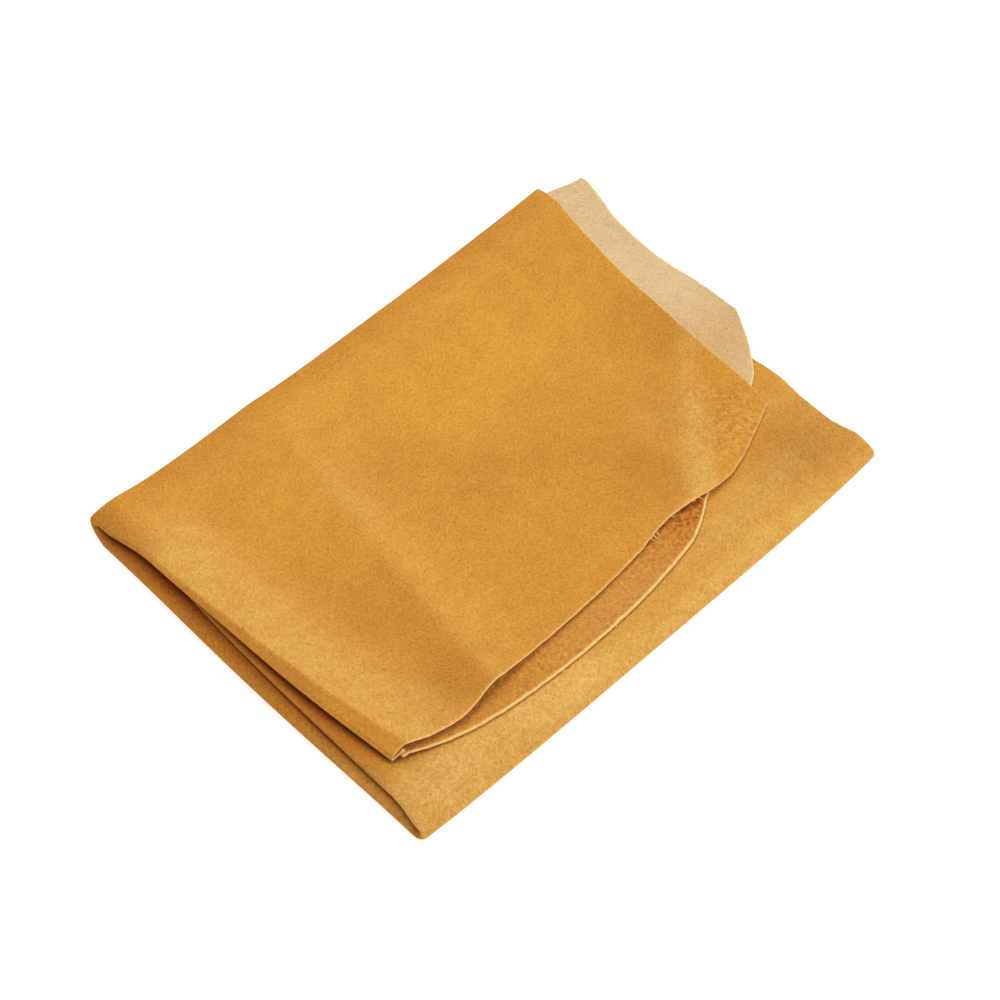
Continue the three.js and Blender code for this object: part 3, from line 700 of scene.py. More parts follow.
def top_leaves(settings, s):
    """The top flap's outer and inner leaf, with rows from its cut end to the far fold."""
    t = crowded_shares(TOP_ROWS)[::-1]

    def outer_height(x, y):
        return top_outer_height(x, y, settings)

    outer = flap_leaf(
        FAR_LINE, top_half_line, CUT_SIDE + OUTER_SIDE_AT_FAR_FOLD,
        flap_end(FAR_EDGE, TOP_OUTER_REACH, OUTER_SIDE_AT_TOP_CORNER, 1),
        (TOP_OUTER_END_WANDER, TOP_OUTER_SIDE_WANDER), (0, -1), outer_height, s, t,
    )
    inner = flap_leaf(
        FAR_LINE, top_inner_half_line, CUT_SIDE + INNER_SIDE_AT_FAR_FOLD,
        flap_end(FAR_EDGE, TOP_INNER_REACH, INNER_SIDE_AT_TOP_CORNER, 1),
        (TOP_INNER_END_WANDER, TOP_INNER_SIDE_WANDER), (0, -1), top_inner_height, s, t,
    )
    return outer, inner


def base_leaves(s):
    """The base's outer and inner leaf, with rows from the far fold to the near fold."""
    t = np.linspace(0, 1, BASE_ROWS)
    outer = base_leaf(
        CUT_SIDE + OUTER_SIDE_AT_FAR_FOLD, CUT_SIDE + OUTER_SIDE_AT_NEAR_FOLD, BASE_OUTER_SIDE_WANDER,
        base_outer_height, s, t,
    )
    inner = base_leaf(
        CUT_SIDE + INNER_SIDE_AT_FAR_FOLD, CUT_SIDE + INNER_SIDE_AT_NEAR_FOLD, BASE_INNER_SIDE_WANDER,
        base_inner_height, s, t,
    )
    return outer, inner


def tucked_leaves(s):
    """The tucked flap's outer and inner leaf, with rows from the near fold to its cut end."""
    t = crowded_shares(TUCKED_ROWS)
    outer = flap_leaf(
        NEAR_LINE, tucked_half_line, CUT_SIDE + OUTER_SIDE_AT_NEAR_FOLD,
        flap_end(NEAR_EDGE, TUCKED_OUTER_REACH, OUTER_SIDE_AT_TUCKED_CORNER, -1),
        (TUCKED_OUTER_END_WANDER, TUCKED_OUTER_SIDE_WANDER), (0, 1), tucked_outer_height, s, t,
    )
    inner = flap_leaf(
        NEAR_LINE, tucked_half_line, CUT_SIDE + INNER_SIDE_AT_NEAR_FOLD,
        flap_end(NEAR_EDGE, TUCKED_INNER_REACH, INNER_SIDE_AT_TUCKED_CORNER, -1),
        (TUCKED_INNER_END_WANDER, TUCKED_INNER_SIDE_WANDER), (0, 1), tucked_inner_height, s, t,
    )
    return outer, inner


def far_bends(top, base, s, u):
    """The outer and inner bend round the far fold.

    Both lean, and their ends flare by a parabola. The inner one is tighter at its two corners.
    """
    flare = lerp(*FAR_FOLD_FLARE, s) * (1 - 4 * s * (1 - s))
    free_corner = 1 - FREE_CORNER[1] * smooth(FREE_CORNER[0], 1, s)
    pinched_corner = 1 - PINCHED_CORNER[1] * (1 - smooth(0, PINCHED_CORNER[0], s))
    inner_depth = (FAR_INNER_DEPTH + flare) * free_corner * pinched_corner
    fold = dict(direction=1, lean=lerp(*FAR_FOLD_LEAN, smooth(0, FAR_LEAN_REACH, s)), u=u)
    outer = cross_bend(top[0][-1], base[0][0], FAR_OUTER_DEPTH + flare, **fold)
    inner = cross_bend(top[1][-1], base[1][0], inner_depth, **fold)
    return outer, inner


def near_bends(tucked, base, s, u):
    """The outer and inner bend round the near fold, which bows out along its middle by a fourth power."""
    bow = (NEAR_FOLD_BOW + NEAR_FOLD_SWELL) * (1 - lerp(1 - NEAR_FOLD_END, 1, s) * (2 * s - 1) ** 4)
    fold = dict(direction=-1, lean=1, u=u)
    outer = cross_bend(tucked[0][0], base[0][-1], NEAR_OUTER_DEPTH + bow, **fold)
    inner = cross_bend(tucked[1][0], base[1][-1], NEAR_INNER_DEPTH + bow, **fold)
    return outer[::-1], inner[::-1]


def half_fold_depths(far_u, near_u):
    """How far the half fold bulges in each row: each panel's own depth, eased over round the folds."""
    return np.concatenate([
        np.full(TOP_ROWS, TOP_EDGE_DEPTH),
        lerp(BASE_EDGE_DEPTH, TOP_EDGE_DEPTH, upper_share(far_u))[1:],
        np.full(BASE_ROWS - 1, BASE_EDGE_DEPTH),
        lerp(BASE_EDGE_DEPTH, TUCKED_EDGE_DEPTH, upper_share(near_u))[::-1][1:],
        np.full(TUCKED_ROWS - 1, TUCKED_EDGE_DEPTH),
    ])


def half_thickness(pleat):
    """Half the leather's thickness over the grid: less where the half fold is pinched."""
    fade = smooth(0, PLEAT_BLEND_COLUMNS, np.arange(PLEAT_BLEND_COLUMNS))
    beside = np.zeros(LEAF_COLUMNS - PLEAT_BLEND_COLUMNS)
    in_fold = np.concatenate([beside, fade, np.ones(FOLD_COLUMNS), fade[::-1], beside])
    return LEATHER / 2 * (1 - PLEAT_THINNING * pleat[:, None] * in_fold[None])


def flat_map(middle):
    """Each point's place on the flat hide: lengths along its row and column, from where the folds cross."""
    along = np.cumsum(np.linalg.norm(np.diff(middle, axis=1, prepend=middle[:, :1]), axis=-1), axis=1)
    over = np.cumsum(np.linalg.norm(np.diff(middle, axis=0, prepend=middle[:1]), axis=-1), axis=0)
    along = along - along[:, APEX_COLUMN:APEX_COLUMN + 1]
    over = over - over[FAR_SEAM_ROW:FAR_SEAM_ROW + 1]
    return np.stack([along, over], axis=-1)


def hide_sheet(settings):
    """The whole hide on one grid: the middle of the leather, its normals, thickness, flat map and marks."""
    s = crowded_shares(LEAF_COLUMNS)
    far_u = np.linspace(0, 1, FAR_BEND_ROWS)
    near_u = np.linspace(0, 1, NEAR_BEND_ROWS)
    top, base, tucked = top_leaves(settings, s), base_leaves(s), tucked_leaves(s)
    stretches = zip(top, far_bends(top, base, s, far_u), base, near_bends(tucked, base, s, near_u), tucked)
    outer, inner = (np.concatenate([first, *(leaf[1:] for leaf in others)]) for first, *others in stretches)
    pleat = np.zeros(len(outer))
    top_y = lerp(FAR_LINE, FAR_EDGE - TOP_OUTER_REACH[0], crowded_shares(TOP_ROWS)[::-1])
    pleat[:TOP_ROWS] = pleat_share(top_y)
    fold = half_fold(outer[:, ::-1], inner, half_fold_depths(far_u, near_u), pleat)
    middle = np.concatenate([outer[:, ::-1], fold, inner], axis=1)
    down = np.gradient(middle, axis=0)
    across = np.gradient(middle, axis=1)
    normal = unit(np.cross(down, across))
    flat = flat_map(middle)
    sheet = dict(
        middle=middle, normal=normal, half=half_thickness(pleat), flat=flat, down=down, across=across,
    )
    return sheet | hide_marks(middle, flat)


def hide_marks(middle, flat):
    """Marks on the sheet's grid, each a number at every point.

    Wear is how far the outer face is rubbed pale and given painted highlights; below nothing it is painted
    crevice shade.
    Soak and stain are dye and a stain on the flesh face, and fray is the pale fibre along a cut edge.
    Lie is how light or dark the nap looks, partly by the way it lies and partly painted shade and light;
    coarse is where the grain is coarse.
    """
    x, y = middle[..., 0], middle[..., 1]
    along, over = flat[..., 0], flat[..., 1]
    row = np.arange(len(x))[:, None]
    outer, inner = slice(0, APEX_COLUMN), slice(APEX_COLUMN, None)
    far_bend = slice(TOP_ROWS, FAR_SEAM_ROW)
    far_share = smooth(TOP_ROWS, FAR_SEAM_ROW, row)
    near_share = smooth(0, NEAR_BEND_ROWS, row - NEAR_SEAM_ROW)

    from_side = np.minimum(along - along[:, :1], along[:, -1:] - along)
    from_end = np.minimum(over - over[:1], over[-1:] - over)
    fray = 1 - smooth(*FRAY, np.minimum(from_side, from_end))

    wear_and_painted_light = np.zeros_like(x)
    wear_and_painted_light[:TOP_ROWS, outer] = top_wear_and_highlights(x, y)[:TOP_ROWS, outer]
    base_wear_and_light = BASE_WEAR_AND_LIGHT * (1 - smooth(0, BASE_WEAR_REACH, x - HALF_EDGE))
    wear_and_painted_light[TOP_ROWS:NEAR_SEAM_ROW] = base_wear_and_light[TOP_ROWS:NEAR_SEAM_ROW]
    tucked_wear_and_highlight = lerp(BASE_WEAR_AND_LIGHT, tucked_scuffs_and_highlight(x, y), near_share) + rim_wear_and_highlight(x, y) * near_share
    wear_and_painted_light[NEAR_SEAM_ROW:, outer] = tucked_wear_and_highlight[NEAR_SEAM_ROW:, outer]
    # Painted shade: the crevice under and beside the top flap's edge, and the inside of the far fold's
    # inner bend, are darkened
    wear_and_painted_light[FAR_SEAM_ROW:] -= painted_crevice_shade(x, y)[FAR_SEAM_ROW:]
    wear_and_painted_light[far_bend, inner] -= (painted_crevice_shade(x, y) * far_share)[far_bend, inner]

    soak = 1 - smooth(*SOAK_END, x) + patches(x, y, SOAK_PATCHES)
    soak[FAR_SEAM_ROW:] = soak[FAR_SEAM_ROW]
    stain = np.zeros_like(x)
    distance = np.hypot(x - STAIN_PLACE[0], y - STAIN_PLACE[1])
    stain[:TOP_ROWS] = np.exp(-((distance[:TOP_ROWS] / STAIN_REACH) ** 2))

    coarse = np.zeros_like(x)
    coarse[:TOP_ROWS, outer] = patches(x, y, COARSE_PATCHES)[:TOP_ROWS, outer]
    # Painted shade over the base and its bends; nap tone with painted light and shade in patches on the
    # flaps
    nap_and_painted_shading = np.full_like(x, BASE_PAINTED_SHADE)
    nap_and_painted_shading[:TOP_ROWS] = (patches(x, y, TOP_NAP_AND_PAINTED_SHADING) + painted_flank_and_shoulder(x, y))[:TOP_ROWS]
    tucked_nap_and_painted_shading = patches(x, y, TUCKED_NAP_AND_PAINTED_SHADING) + edge_painted_shade(x, y)
    nap_and_painted_shading[NEAR_SEAM_ROW:] = lerp(BASE_PAINTED_SHADE, tucked_nap_and_painted_shading, near_share)[NEAR_SEAM_ROW:]
    nap_and_painted_shading[far_bend] = lerp(nap_and_painted_shading[TOP_ROWS - 1], BASE_PAINTED_SHADE, far_share[far_bend])
    return dict(wear_and_painted_light=wear_and_painted_light + FRAY_WEAR * fray, soak=soak, stain=stain, fray=fray, nap_and_painted_shading=nap_and_painted_shading, coarse=coarse)


def top_wear_and_highlights(x, y):
    """Wear and painted highlights of the top leaf: behind its lip, beside its ridge and along its streak,
    on slopes that face the light, with scuffs.
    """
    behind = x - top_half_line(y) - lip_crest(y)
    lip_band = smooth(*LIP_BAND_START, behind) * (1 - smooth(*LIP_BAND_END, behind))
    share, past = beside_line(x, y, RIDGE_LINE)
    ridge_band = smooth(*RIDGE_BAND_START, past) * np.exp(-np.maximum(past, 0) / RIDGE_BAND_FALL)
    ridge_band = ridge_band * lerp(*RIDGE_BAND_SHARE, share)
    share, past = beside_line(x, y, STREAK_LINE)
    streak_band = np.exp(-(((past - STREAK_BAND_PLACE) / lerp(*STREAK_BAND_WIDTH, share)) ** 2))
    streak_band = streak_band * lerp(*STREAK_BAND_SHARE, share)
    wear_and_painted_light = LIP_WEAR_AND_HIGHLIGHT * lip_band + RIDGE_WEAR_AND_HIGHLIGHT * ridge_band + STREAK_WEAR_AND_HIGHLIGHT * streak_band
    wear_and_painted_light = (wear_and_painted_light + patches(x, y, TOP_SCUFFS)) * smooth(0, TOP_WEAR_AND_HIGHLIGHT_FADE, FAR_LINE - y)
    return wear_and_painted_light + FAR_FOLD_WEAR * (1 - smooth(0, FAR_FOLD_WEAR_REACH, FAR_LINE - y))


def rim_wear_and_highlight(x, y):
    """Wear and a painted highlight along the tucked flap's half fold: full on its outside and gone a little
    way in.
    """
    inward = x - tucked_half_line(y) + TUCKED_EDGE_DEPTH + RIM
    return TUCKED_RIM_WEAR_AND_HIGHLIGHT * (1 - smooth(RIM, TUCKED_RIM_REACH, inward))


def out_from_top_edge(x, y):
    """How far out from the top flap's edge along the half fold each point lies."""
    return top_half_line(y) - TOP_EDGE_DEPTH - RIM - x


def painted_crevice_shade(x, y):
    """Painted shade along the top flap's edge: a band that fades out to either side and towards its end."""
    out = out_from_top_edge(x, y)
    band = smooth(*PAINTED_CREVICE_INSIDE, out) * (1 - smooth(*PAINTED_CREVICE_OUTSIDE, out))
    return PAINTED_CREVICE_SHADE * band * smooth(*PAINTED_CREVICE_END, y)


def edge_painted_shade(x, y):
    """Painted shade on the tucked flap by the top flap's edge: a bell across, fading towards the near fold.
    """
    bell = np.exp(-(((out_from_top_edge(x, y) - EDGE_PAINTED_SHADE_PLACE) / EDGE_PAINTED_SHADE_REACH) ** 2))
    return EDGE_PAINTED_SHADE * bell * smooth(*EDGE_PAINTED_SHADE_END, y)


def painted_flank_and_shoulder(x, y):
    """Painted light and shade along the top leaf's half fold: lighter on the shaded flank of a full lip,
    darker on the shoulder.
    """
    inward = x - top_half_line(y)
    flank = FLANK_PAINTED_LIGHT * (1 - smooth(*FLANK_PAINTED_LIGHT_END, inward - lip_crest(y))) * pleat_share(y) ** 2
    shoulder = SHOULDER_PAINTED_SHADE * (1 - smooth(0, EDGE_SAG_REACH, inward)) * smooth(*EDGE_SAG_FADE, y)
    return flank + shoulder


def tucked_scuffs_and_highlight(x, y):
    """Wear of the tucked flap: an even share, and round scuffs that fade out as bells, one of them also a
    painted highlight along the near fold.
    """
    wear_and_painted_light = lerp(*TUCKED_WEAR, smooth(HALF_EDGE, CUT_SIDE, x)) * (1 - smooth(*TUCKED_WEAR_END, y))
    return wear_and_painted_light + patches(x, y, SCUFFS_AND_HIGHLIGHT)


def patches(x, y, table):
    """Soft round patches that fade out as bells, summed."""
    total = np.zeros_like(x)
    for place_x, place_y, reach_x, reach_y, amount in table:
        total = total + amount * np.exp(-(((x - place_x) / reach_x) ** 2) - ((y - place_y) / reach_y) ** 2)
    return total


def boundary(rows, columns):
    """Row and column of each border point in turn: first row, last column, last row, first column."""
    across = np.arange(columns - 1)
    down = np.arange(rows - 1)
    first_row, last_row = np.zeros_like(across), np.full_like(across, rows - 1)
    first_column, last_column = np.zeros_like(down), np.full_like(down, columns - 1)
    row = np.concatenate([first_row, down, last_row, rows - 1 - down])
    column = np.concatenate([across, last_column, columns - 1 - across, first_column])
    return row, column


def outward_directions(sheet, first_cut, last_cut):
    """At every grid point of the border, the way out of the sheet, and nothing along a seam.

    It is the grid's own direction there, made square to the sheet's normal.
    """
    out = np.zeros_like(sheet["middle"])
    out[:, 0] -= unit(sheet["across"][:, 0])
    out[:, -1] += unit(sheet["across"][:, -1])
    if first_cut:
        out[0] -= unit(sheet["down"][0])
    if last_cut:
        out[-1] += unit(sheet["down"][-1])
    along_normal = (out * sheet["normal"]).sum(-1, keepdims=True)
    return unit(out - along_normal * sheet["normal"])


def face_values(values, row, column, rings):
    """Values of the grid for a piece's two faces, and then for each ring of its rim."""
    face = values.reshape(-1, *values.shape[2:])
    return np.concatenate([face, face, *[values[row, column]] * rings])


def point_list(*grids):
    """Grids of points as one list of points."""
    return np.concatenate([points.reshape(-1, 3) for points in grids])


def leather_piece(name, settings, first_row, last_row):
    """A closed piece of leather from a range of the hide's rows.

    Its two faces lie half the thickness to either side of the middle, and a half round closes each edge.
    """
    part = {key: value[first_row:last_row + 1] for key, value in hide_sheet(settings).items()}
    rows, columns = part["middle"].shape[:2]
    count = rows * columns
    thick = part["half"][..., None]
    faces_out = part["middle"] + part["normal"] * thick
    faces_in = part["middle"] - part["normal"] * thick
    row, column = boundary(rows, columns)
    outward = outward_directions(part, first_row == 0, last_row == LAST_ROW)[row, column]
    angles = np.linspace(np.pi / 2, -np.pi / 2, RIM_STEPS + 1)[1:-1, None, None]
    turn = np.cos(angles) * outward + np.sin(angles) * part["normal"][row, column]
    rim = part["middle"][row, column] + turn * thick[row, column]

    grid = np.arange(count).reshape(rows, columns)
    border = grid[row, column]
    rim_index = 2 * count + np.arange(rim.shape[0] * rim.shape[1]).reshape(rim.shape[:2])
    rings = np.concatenate([border[None], rim_index, border[None] + count])
    ahead = np.roll(rings, -1, axis=1)
    corners = (grid[:-1, :-1], grid[1:, :-1], grid[1:, 1:], grid[:-1, 1:])
    quads_out = np.stack(corners, axis=-1).reshape(-1, 4)
    quads_in = quads_out[:, ::-1] + count
    quads_rim = np.stack([rings[:-1], ahead[:-1], ahead[1:], rings[1:]], axis=-1).reshape(-1, 4)
    quads = np.concatenate([quads_out, quads_in, quads_rim])
    lips = len(row) * RIM_LIP  # the faces of the rim that still belong to the outer face
    finish = np.repeat([0, 1, 0, 2], [len(quads_out), len(quads_in), lips, len(quads_rim) - lips])

    vertices = point_list(faces_out, faces_in, rim) * MM
    flat = face_values(part["flat"], row, column, len(rim)) * MM
    piece = mapped_piece(name, vertices, quads, flat, hide_materials(settings))
    piece.data.polygons.foreach_set("material_index", finish.astype(np.int32))
    for mark in MARKS:
        values = face_values(part[mark], row, column, len(rim))
        attribute = piece.data.attributes.new(mark, "FLOAT", "POINT")
        attribute.data.foreach_set("value", values.astype(np.float32))
    normals = point_list(part["normal"], -part["normal"], unit(turn))
    piece.data.normals_split_custom_set_from_vertices(normals)
    return piece


def mapped_piece(name, vertices, quads, flat, materials):
    """A smooth mesh at the origin, with the flat map of the hide and its finishes."""
    mesh = bpy.data.meshes.new(name)
    mesh.from_pydata(vertices, [], quads)
    mesh.polygons.foreach_set("use_smooth", np.ones(len(quads), bool))
    hide_map = mesh.uv_layers.new(name="hide")
    corners = np.zeros(len(mesh.loops), np.int32)
    mesh.loops.foreach_get("vertex_index", corners)
    hide_map.uv.foreach_set("vector", (flat[corners] + MAP_MIDDLE).astype(np.float32).ravel())
    for material in materials:
        mesh.materials.append(material)
    piece = bpy.data.objects.new(name, mesh)
    bpy.context.scene.collection.objects.link(piece)
    return piece


def fibre_roots(sheet, random):
    """Where each loose fibre leaves a cut end, which way it points and how long it is."""
    roots, ways, lengths, maps = [], [], [], []
    for leaf, place, count, length in TUFTS:
        first = 0 if leaf == "outer" else INNER_COLUMN
        columns = np.arange(first, first + LEAF_COLUMNS)
        end = sheet["middle"][0, columns]
        column = columns[np.argmin(np.abs(end[:, 0] - place))]
        spread_out = np.clip(column + random.integers(-1, 2, count), columns[0], columns[-1])
        out = -unit(sheet["down"][0, spread_out])
        roots.append(sheet["middle"][0, spread_out])
        ways.append(unit(out + random.normal(0, FIBRE_SPREAD, (count, 3)) * FIBRE_SPREAD_SHARES))
        lengths.append(length * random.uniform(FIBRE_SHORTEST, 1.0, count))
        maps.append(sheet["flat"][0, spread_out])
    return [np.concatenate(values) for values in (roots, ways, lengths, maps)]


def fibre_tubes(sheet):
    """Loose fibres as thin tubes: a round section carried along a bent path that tapers to its tip."""
    random = np.random.default_rng(FIBRE_SEED)
    roots, ways, lengths, maps = fibre_roots(sheet, random)
    count = len(roots)
    t = np.linspace(0, 1, FIBRE_STEPS)[None, :, None]
    curl = random.normal(0, FIBRE_CURL, (count, 1, 3)) * FIBRE_CURL_SHARES
    path = roots[:, None] + lengths[:, None, None] * (ways[:, None] * t + curl * t**2)
    ahead = unit(np.gradient(path, axis=1))
    side = unit(np.cross(ahead, (0, 0, 1)))
    rise = np.cross(side, ahead)
    angle = np.linspace(0, 2 * np.pi, FIBRE_SIDES, endpoint=False)[:, None]
    ring = np.cos(angle) * side[:, :, None] + np.sin(angle) * rise[:, :, None]
    tubes = path[:, :, None] + ring * (FIBRE_RADIUS * (1 - FIBRE_TAPER * t))[..., None]
    index = np.arange(count * FIBRE_STEPS * FIBRE_SIDES).reshape(count, FIBRE_STEPS, FIBRE_SIDES)
    turned = np.roll(index, -1, axis=2)
    walls = np.stack([index[:, :-1], index[:, 1:], turned[:, 1:], turned[:, :-1]], axis=-1).reshape(-1, 4)
    faces = [*walls.tolist(), *index[:, 0].tolist(), *index[:, -1, ::-1].tolist()]
    flat = np.broadcast_to(maps[:, None, None], (*index.shape, 2)) + (t * lengths[:, None, None])[..., None]
    return tubes.reshape(-1, 3) * MM, faces, flat.reshape(-1, 2) * MM


def shader(name):
    """A new material, its node tree and its Principled shader."""
    material = bpy.data.materials.new(name)
    material.use_nodes = True
    tree = material.node_tree
    return material, tree, tree.nodes["Principled BSDF"]


def set_inputs(tree, node, inputs):
    """Give inputs of a node their values and their links."""
    for key, value in inputs.items():
        if isinstance(value, bpy.types.NodeSocket):
            tree.links.new(value, node.inputs[key])
        else:
            node.inputs[key].default_value = value


def add_node(tree, kind, inputs=None, **values):
    """A node of the given kind, with its settings, its input values and its links."""
    node = tree.nodes.new(kind)
    for key, value in values.items():
        setattr(node, key, value)
    set_inputs(tree, node, inputs or {})
    return node


def noise(tree, vector, size, detail, roughness, distortion):
    """Even noise of patches about size metres across, on the hide's own map."""
    inputs = {"Vector": vector, "Scale": 1 / size, "Detail": detail, "Roughness": roughness}
    inputs["Distortion"] = distortion
    return add_node(tree, "ShaderNodeTexNoise", inputs, noise_dimensions="2D").outputs["Fac"]


def blend_colours(tree, share, first, second, kind="MIX"):
    """The first colour mixed with the second by a share."""
    inputs = {0: share, 6: first, 7: second}
    return add_node(tree, "ShaderNodeMix", inputs, data_type="RGBA", blend_type=kind).outputs[2]


def spread(tree, value, low, high, out_low=0.0, out_high=1.0):
    """A value stretched from one range to another, and held inside it."""
    inputs = {"Value": value, "From Min": low, "From Max": high, "To Min": out_low, "To Max": out_high}
    return add_node(tree, "ShaderNodeMapRange", inputs).outputs["Result"]


def mark_value(tree, name):
    """The value of a mark that the mesh carries at each point."""
    return add_node(tree, "ShaderNodeAttribute", attribute_name=name).outputs["Fac"]


def math_node(tree, operation, first, second):
    """Two values put together by a sum, a product or another operation."""
    return add_node(tree, "ShaderNodeMath", {0: first, 1: second}, operation=operation).outputs[0]


def scaled(colour, factor):
    """A colour made lighter or darker, with its alpha kept."""
    return tuple(min(1.0, factor * value) for value in colour[:3]) + (1.0,)


def clouded(tree, noises, colour, settings):
    """A colour that broad clouds lighten and darken."""
    light, dark = scaled(colour, 1 + settings.clouds), scaled(colour, 1 - settings.clouds)
    return blend_colours(tree, spread(tree, noises["clouds"], *NOISE_RANGE), dark, light)


def suede_base(name):
    """A new suede material: its tree, its shader, the hide's flat map and the noises that suede shares."""
    material, tree, principled = shader(name)
    flat = add_node(tree, "ShaderNodeUVMap", uv_map="hide").outputs["UV"]
    lay = {"Vector": flat, "Scale": NAP_STRETCH, "Rotation": (0, 0, NAP_TURN)}
    nap_map = add_node(tree, "ShaderNodeMapping", lay).outputs["Vector"]
    noises = {kind: noise(tree, flat, *NOISES[kind]) for kind in ("clouds", "mottle", "pebble")}
    noises["nap"] = noise(tree, nap_map, *NOISES["nap"])
    return material, tree, principled, flat, noises


def suede_surface(tree, principled, tone, noises, grain, tint, settings):
    """The suede's own finish: a tone shaded by mottle, nap and grain, bumps of grain and nap, and sheen.

    Grain is how coarse the surface is: nothing for even suede, one for a pebbled face.
    """
    mottled = spread(tree, noises["mottle"], *NOISE_RANGE, 1 - settings.mottle, 1 + settings.mottle)
    napped = spread(tree, noises["nap"], *NAP_RANGE, 1 - settings.nap_contrast, 1 + settings.nap_contrast)
    pebble = spread(tree, noises["pebble"], *NOISE_RANGE, -settings.pebble, settings.pebble)
    pebbled = math_node(tree, "ADD", math_node(tree, "MULTIPLY", pebble, grain), 1.0)
    shade = math_node(tree, "MULTIPLY", math_node(tree, "MULTIPLY", mottled, napped), pebbled)
    coarse = {
        "Height": math_node(tree, "MULTIPLY", noises["pebble"], grain),
        "Strength": PEBBLE_STRENGTH, "Distance": PEBBLE_HEIGHT,
    }
    low = add_node(tree, "ShaderNodeBump", coarse).outputs["Normal"]
    fine = {"Height": noises["nap"], "Strength": 1.0, "Distance": settings.nap_height, "Normal": low}
    set_inputs(tree, principled, {
        "Base Color": blend_colours(tree, 1.0, tone, shade, "MULTIPLY"),
        "Normal": add_node(tree, "ShaderNodeBump", fine).outputs["Normal"],
        "Roughness": ROUGHNESS, "Specular IOR Level": SPECULAR,
        "Sheen Weight": settings.sheen, "Sheen Roughness": SHEEN_ROUGHNESS, "Sheen Tint": tint,
    })


def golden_material(name, settings):
    """The outer face: clouded dye, paled by wear and painted highlights, darkened by painted crevice shade,
    with dark pores.
    """
    material, tree, principled, flat, noises = suede_base(name)
    dye = tuple(settings.outer_colour)
    wear_and_painted_light = mark_value(tree, "wear_and_painted_light")
    patchy = spread(tree, noises["mottle"], *NOISE_RANGE, *WEAR_PATCHINESS)
    # The mark pales the dye both where it is rubbed and where highlights are painted on lit slopes
    worn = math_node(tree, "MINIMUM", math_node(tree, "MULTIPLY", wear_and_painted_light, patchy), 1.0)
    # Where the mark is below nothing it is painted crevice shade, mixed towards a darker, redder colour
    crevice_shade_share = math_node(tree, "MULTIPLY", wear_and_painted_light, -1.0)
    tone = blend_colours(tree, worn, clouded(tree, noises, dye, settings), tuple(settings.worn_and_highlight_colour))
    tone = blend_colours(tree, crevice_shade_share, tone, tuple(settings.crevice_shade_colour))
    pore_map = {"Vector": flat, "Scale": 1 / PORE_SPACING, "Randomness": 1.0}
    pores = add_node(tree, "ShaderNodeTexVoronoi", pore_map, voronoi_dimensions="2D").outputs["Distance"]
    pored = spread(tree, pores, *PORE_RIM, 1 - settings.pores, 1.0)
    # Nap tone, painted shade and painted light brighten and darken the dye
    nap_and_painted_shading = math_node(tree, "ADD", mark_value(tree, "nap_and_painted_shading"), 1.0)
    tone = blend_colours(tree, 1.0, tone, math_node(tree, "MULTIPLY", pored, nap_and_painted_shading), "MULTIPLY")
    grain = spread(tree, wear_and_painted_light, *GRAIN_WEAR, *OUTER_GRAIN)
    grain = math_node(tree, "ADD", grain, mark_value(tree, "coarse"))
    suede_surface(tree, principled, tone, noises, grain, scaled(dye, OUTER_SHEEN), settings)
    return material


def flesh_material(name, settings):
    """The flesh face: pale where little dye reached it, orange where it soaked in, browner at the stain."""
    material, tree, principled, _, noises = suede_base(name)
    pale = tuple(settings.inner_colour)
    soak = mark_value(tree, "soak")
    tone = blend_colours(tree, soak, clouded(tree, noises, pale, settings), tuple(settings.soaked_colour))
    speckle = spread(tree, noises["pebble"], *STAIN_RANGE, *STAIN_SHARE)
    stain = math_node(tree, "MULTIPLY", mark_value(tree, "stain"), speckle)
    tone = blend_colours(tree, stain, tone, tuple(settings.stain_colour))
    tone = blend_colours(tree, mark_value(tree, "fray"), tone, tuple(settings.cut_colour))
    least, more = FLESH_GRAIN
    grain = math_node(tree, "ADD", math_node(tree, "MULTIPLY", soak, more), least)
    suede_surface(tree, principled, tone, noises, grain, scaled(pale, FLESH_SHEEN), settings)
    return material


def cut_material(name, settings):
    """The cut face of the hide: pale, undyed fibre with fine streaks."""
    material, tree, principled = shader(name)
    flat = add_node(tree, "ShaderNodeUVMap", uv_map="hide").outputs["UV"]
    streaks = spread(tree, noise(tree, flat, *NOISES["streaks"]), *STREAK_RANGE)
    pale = tuple(settings.cut_colour)
    tone = blend_colours(tree, streaks, scaled(pale, STREAK_SHADE), pale)
    finish = {"Base Color": tone, "Roughness": ROUGHNESS, "Specular IOR Level": SPECULAR}
    set_inputs(tree, principled, finish)
    return material


def hide_materials(settings):
    """The three finishes of the hide, made once: outer face, flesh face and cut edge."""
    makers = {"golden_suede": golden_material, "flesh_suede": flesh_material, "cut_edge": cut_material}
    for name, maker in makers.items():
        if name not in bpy.data.materials:
            maker(name, settings)
    return [bpy.data.materials[name] for name in makers]


def length_setting(name, description, default, high):
    """A setting for a length of the leather, with its default and its upper limit in millimetres."""
    return FloatProperty(
        name=name, description=description, default=default * MM, min=0.0, max=high * MM,
        subtype="DISTANCE", unit="LENGTH", precision=5,
    )


def share_setting(name, description, default, high=0.5):
    """A setting for a share of one."""
    return FloatProperty(
        name=name, description=description, default=default, min=0.0, max=high, subtype="FACTOR",
    )


def colour_setting(name, description, *colour):
    """A setting for a colour, given as red, green and blue."""
    return FloatVectorProperty(
        name=name, description=description, default=(*colour, 1.0), size=4, min=0.0, max=1.0,
        subtype="COLOR",
    )


